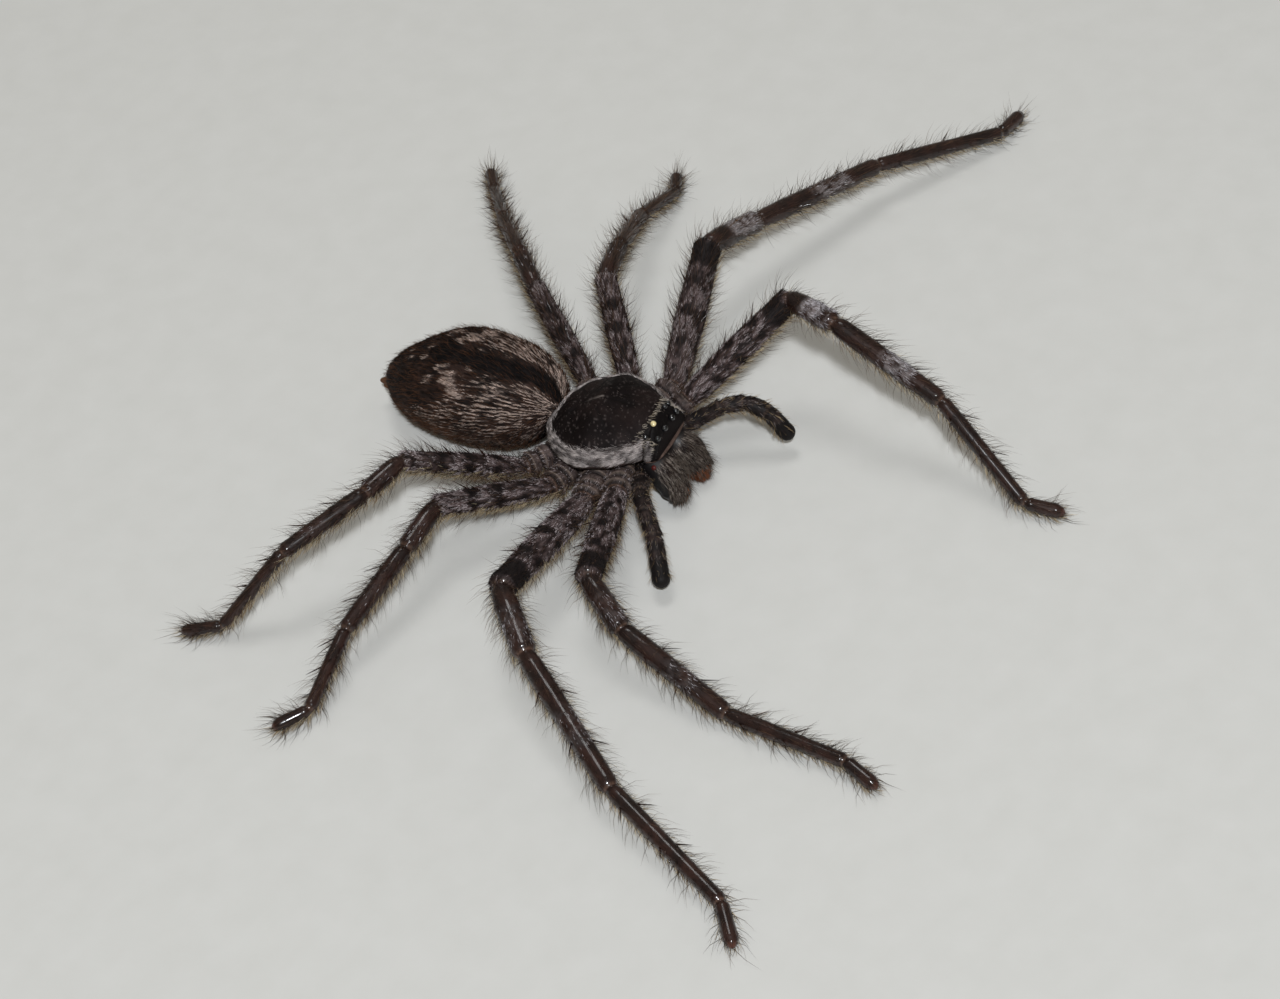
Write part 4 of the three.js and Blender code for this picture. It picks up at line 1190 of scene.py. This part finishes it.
def spine_bundle(name, pair, patch):
    """Stout dark spines in the places of the solids' spines."""
    joints = leg_joints(name, pair)[1:]
    rows = {0: FEMUR_SPINES, 2: TIBIA_SPINES, 3: METATARSUS_SPINES}
    bundles = []
    for piece, spines in rows.items():
        length = np.linalg.norm(joints[piece + 1] - joints[piece])
        axis = unit(joints[piece + 1] - joints[piece])
        side = unit(np.cross(axis, UP))
        top = np.cross(side, axis)
        for place, turn, reach in spines:
            spin = math.radians(turn)
            out = top * math.cos(spin) + side * math.sin(spin)
            way = out * math.cos(SPINE_LEAN) + axis * math.sin(SPINE_LEAN)
            root = joints[piece] + axis * (length * place) + out * (LEG_RADII[pair][piece] * 0.8)
            bundles.append((root, out, way, reach * 0.95))
    place, normal, ways, lengths = (np.array(column) for column in zip(*bundles))
    count = len(bundles)
    uv = np.stack([np.linspace(0.1, 0.9, count), np.full(count, patch.region[1] + 0.1)], 1)
    roots = {"place": place, "normal": normal, "uv": uv}
    colour = np.broadcast_to(tint(30, 20, 18), (count, 3))
    return tuft_arrays(roots, ways, ways * 0, lengths, np.full(count, SPINE_WIDTH), 4, colour, colour)


def build_legs():
    """Eight legs: one skin for all, and down, brush and spines for each side."""
    patches = []
    for name, pair in LEG_NAMES:
        patches.append(leg_patch(name, pair, (0.0, pair * 0.25 + 0.005, 1.0, pair * 0.25 + 0.245)))
    nodes = [f"{part}_{name}_{pair + 1}" for name, pair in LEG_NAMES for part in LEG_PARTS]
    shank = []
    for patch in patches:
        shank.append(np.repeat(patch.distance > patch.stops[2] - 0.2, patch.columns))
        shank.append([False, True])
    skin_object("skin_legs", patches, "femur", nodes, "shank", np.concatenate(shank))
    for side, seed in (("left", 110), ("right", 100)):
        flat, brush, spines = [], [], []
        for (name, pair), patch in zip(LEG_NAMES, patches):
            if name == side:
                rng = np.random.default_rng(seed + pair)
                flat += leg_down(patch, rng)
                brush += leg_brush(patch, rng)
                spines.append(spine_bundle(name, pair, patch))
        coat_object(f"coat_down_{side}", flat)
        coat_object(f"coat_brush_{side}", brush)
        coat_object(f"spines_{side}", spines, "fang")


def build_abdomen():
    """The abdomen with three coats, and the spinnerets."""
    patch = abdomen_patch()
    skin_object("skin_abdomen", [patch], "abdomen", ["abdomen"])
    rng = np.random.default_rng(7)

    def dark(roots):
        lit = ease(0.005, 0.012, roots["paint"].mean(1))
        return blend(roots["paint"] * 0.6, (60, 42, 32), rng.random(len(lit)) ** 3 * 0.7 * lit)

    def pale(roots):
        turned = np.abs(np.mod(roots["column"] + 0.5, 1) - 0.5) * TURN
        colour = blend((158, 136, 122), (214, 194, 184), rng.random(len(turned)))
        return colour * (1 - 0.6 * ease(1.0, 1.8, turned))[:, None]

    flat = layer("abdomen_dark", patch, rng, 1.05 - patch.pale, paint=dark)
    coat_object("coat_abdomen_dark", [flat])
    streaks = layer("abdomen_pale", patch, rng, patch.pale ** 2.2, paint=pale)
    coat_object("coat_abdomen_pale", [streaks])
    coat_object("coat_abdomen_erect", [layer("abdomen_erect", patch, rng, None)])
    skin_object("skin_spinnerets", spinneret_patches(), "spinneret", ["spinnerets"])


def top_weight(patch, field):
    """A weight for a field over the upper side of the shield, and 0 elsewhere."""
    weight = np.zeros((patch.rows, patch.columns))
    weight[:SHIELD_GRID[0], :SHIELD_GRID[1]] = field
    return weight


def build_shield():
    """The shield with its lip, its rim of grey hair and small pale specks."""
    patch = shield_patch()
    skin_object("skin_shield", [patch, lip_patch()], "shield", ["carapace"])
    rng = np.random.default_rng(17)
    aside = np.abs(patch.left)
    sides = 0.45 + 0.55 * ease(0.0, 0.4, aside / SHIELD_HALF_WIDTH)
    ends = 4.5 + 0.5 * ease(1.9, 2.3, aside)
    band = fade(0.35, 1.05, patch.rim) * fade(ends, ends + 0.5, patch.forward) * sides
    middle = body_spots(-0.4, 0.0, 0.0)

    def round_rim(roots):
        out = roots["place"] - middle
        out[:, 2] = 0
        out = unit(out)
        tangent = np.stack([-out[:, 1], out[:, 0], out[:, 2]], 1) * np.sign(out[:, :1])
        return tangent - out * 0.25

    def streaked(roots):
        out = (roots["place"] - middle)[:, :2]
        turn = np.arctan2(out[:, 1], out[:, 0])
        far = np.linalg.norm(out, axis=1)
        clump = noise(np.stack([turn * 9.0 + far * 3.0, far * 9.0 - turn * 2.5, far * 0], -1), 1.0, 31)
        mix = ease(0.25, 0.7, clump) * 0.65 + rng.random(len(far)) * 0.35
        return blend((32, 25, 25), (218, 208, 205), mix)

    rim = layer("shield_rim", patch, rng, top_weight(patch, band), paint=streaked, lie=round_rim)
    specks = layer("shield_specks", patch, rng, top_weight(patch, 1), lie=-1)
    coat_object("coat_shield", [rim, specks])


def shield_roots(forward, left):
    """Roots for hairs at chosen places of the shield."""
    u = (forward + SHIELD_BACK) / SHIELD_LENGTH
    width = shield_half_width(u)

    def surface(f, l):
        share = np.clip(l / width, -0.98, 0.98)
        height = shield_height((f + SHIELD_BACK) / SHIELD_LENGTH, share)
        return body_spots(f, l, height, SHIELD_TURN)

    place = surface(forward, left)
    ahead = unit(surface(forward + 0.02, left) - place)
    aside = unit(surface(forward, left + 0.02) - place)
    normal = unit(np.cross(ahead, aside))
    normal = np.where(normal[:, 2:] < 0, -normal, normal)
    uv = np.stack([0.1 + 0.8 * u, 0.5 + left * 0.05], 1)
    return {"place": place, "normal": normal, "lengthwise": ahead, "around": aside, "uv": uv}


def build_bristles():
    """The row of white bristles behind the eyes and the tuft beside them."""
    rng = np.random.default_rng(23)
    behind, beside = BRISTLES
    left = rng.uniform(-2.9, 2.9, behind)
    forward = 4.35 - 0.1 * left ** 2 + rng.normal(0, 0.08, behind)
    left = np.concatenate([left, rng.uniform(2.15, 2.85, beside) * rng.choice([-1, 1], beside)])
    forward = np.concatenate([forward, rng.uniform(3.9, 5.25, beside)])
    roots = shield_roots(forward, left)
    count = len(left)
    sway = -np.sign(left) * 0.35 + rng.normal(0, 0.35, count)
    flat = unit(roots["lengthwise"] + roots["around"] * sway[:, None])
    ways = unit(flat + roots["normal"] * rng.uniform(0.15, 0.6, count)[:, None])
    colour = blend((140, 126, 108), (218, 208, 194), rng.random(count))
    lengths, widths = rng.uniform(0.28, 0.5, count), rng.uniform(0.035, 0.055, count)
    bundle = tuft_arrays(roots, ways, flat * 0.2, lengths, widths, 2, colour * 0.8, colour)
    coat_object("bristles_eyes", [bundle])


def build_jaws_and_palps():
    """Jaws with their bosses and fangs, palps, and one coat for them all."""
    jaws = [jaw_patch(-1, (0, 0, 1, 0.24)), jaw_patch(1, (0, 0.26, 1, 0.49))]
    skin_object("skin_jaws", jaws + boss_patches(), "jaw", ["chelicera_left", "chelicera_right"])
    skin_object("fangs_folded", fang_patches(), "fang", ["fang_left", "fang_right"])
    palps = [palp_patch("left", (0, 0.51, 1, 0.74)), palp_patch("right", (0, 0.76, 1, 1))]
    skin_object("skin_palps", palps, "palp", ["palp_left", "palp_right"])
    coat = []
    for k, patch in enumerate(jaws):
        rng = np.random.default_rng(200 + k)
        pale, dark = patch.hairy * (0.03 + patch.pale), patch.hairy * (1.1 - patch.pale)
        coat += layers(patch, rng, jaw_pale=pale, jaw_dark=dark)
        coat.append(layer("jaw_fringe", patch, rng, patch.fringe, 1.0 if k else 0.086))
        coat += layers(patch, rng, jaw_bristles=patch.hairy)
    for k, patch in enumerate(palps):
        rng = np.random.default_rng(210 + k)
        fringe = 0.25 * patch.covered + patch.below
        coat += layers(patch, rng, palp_dark=patch.covered, palp_flecks=patch.flecks, palp_fringe=fringe)
    coat_object("coat_head", coat)


light_up(*camera_rig())
build_floor()
build_legs()
build_abdomen()
build_shield()
build_bristles()
build_eyes()
build_jaws_and_palps()
skin_object("skin_underside", [sternum_patch(), pedicel_patch()], "underside", ["sternum", "pedicel"])
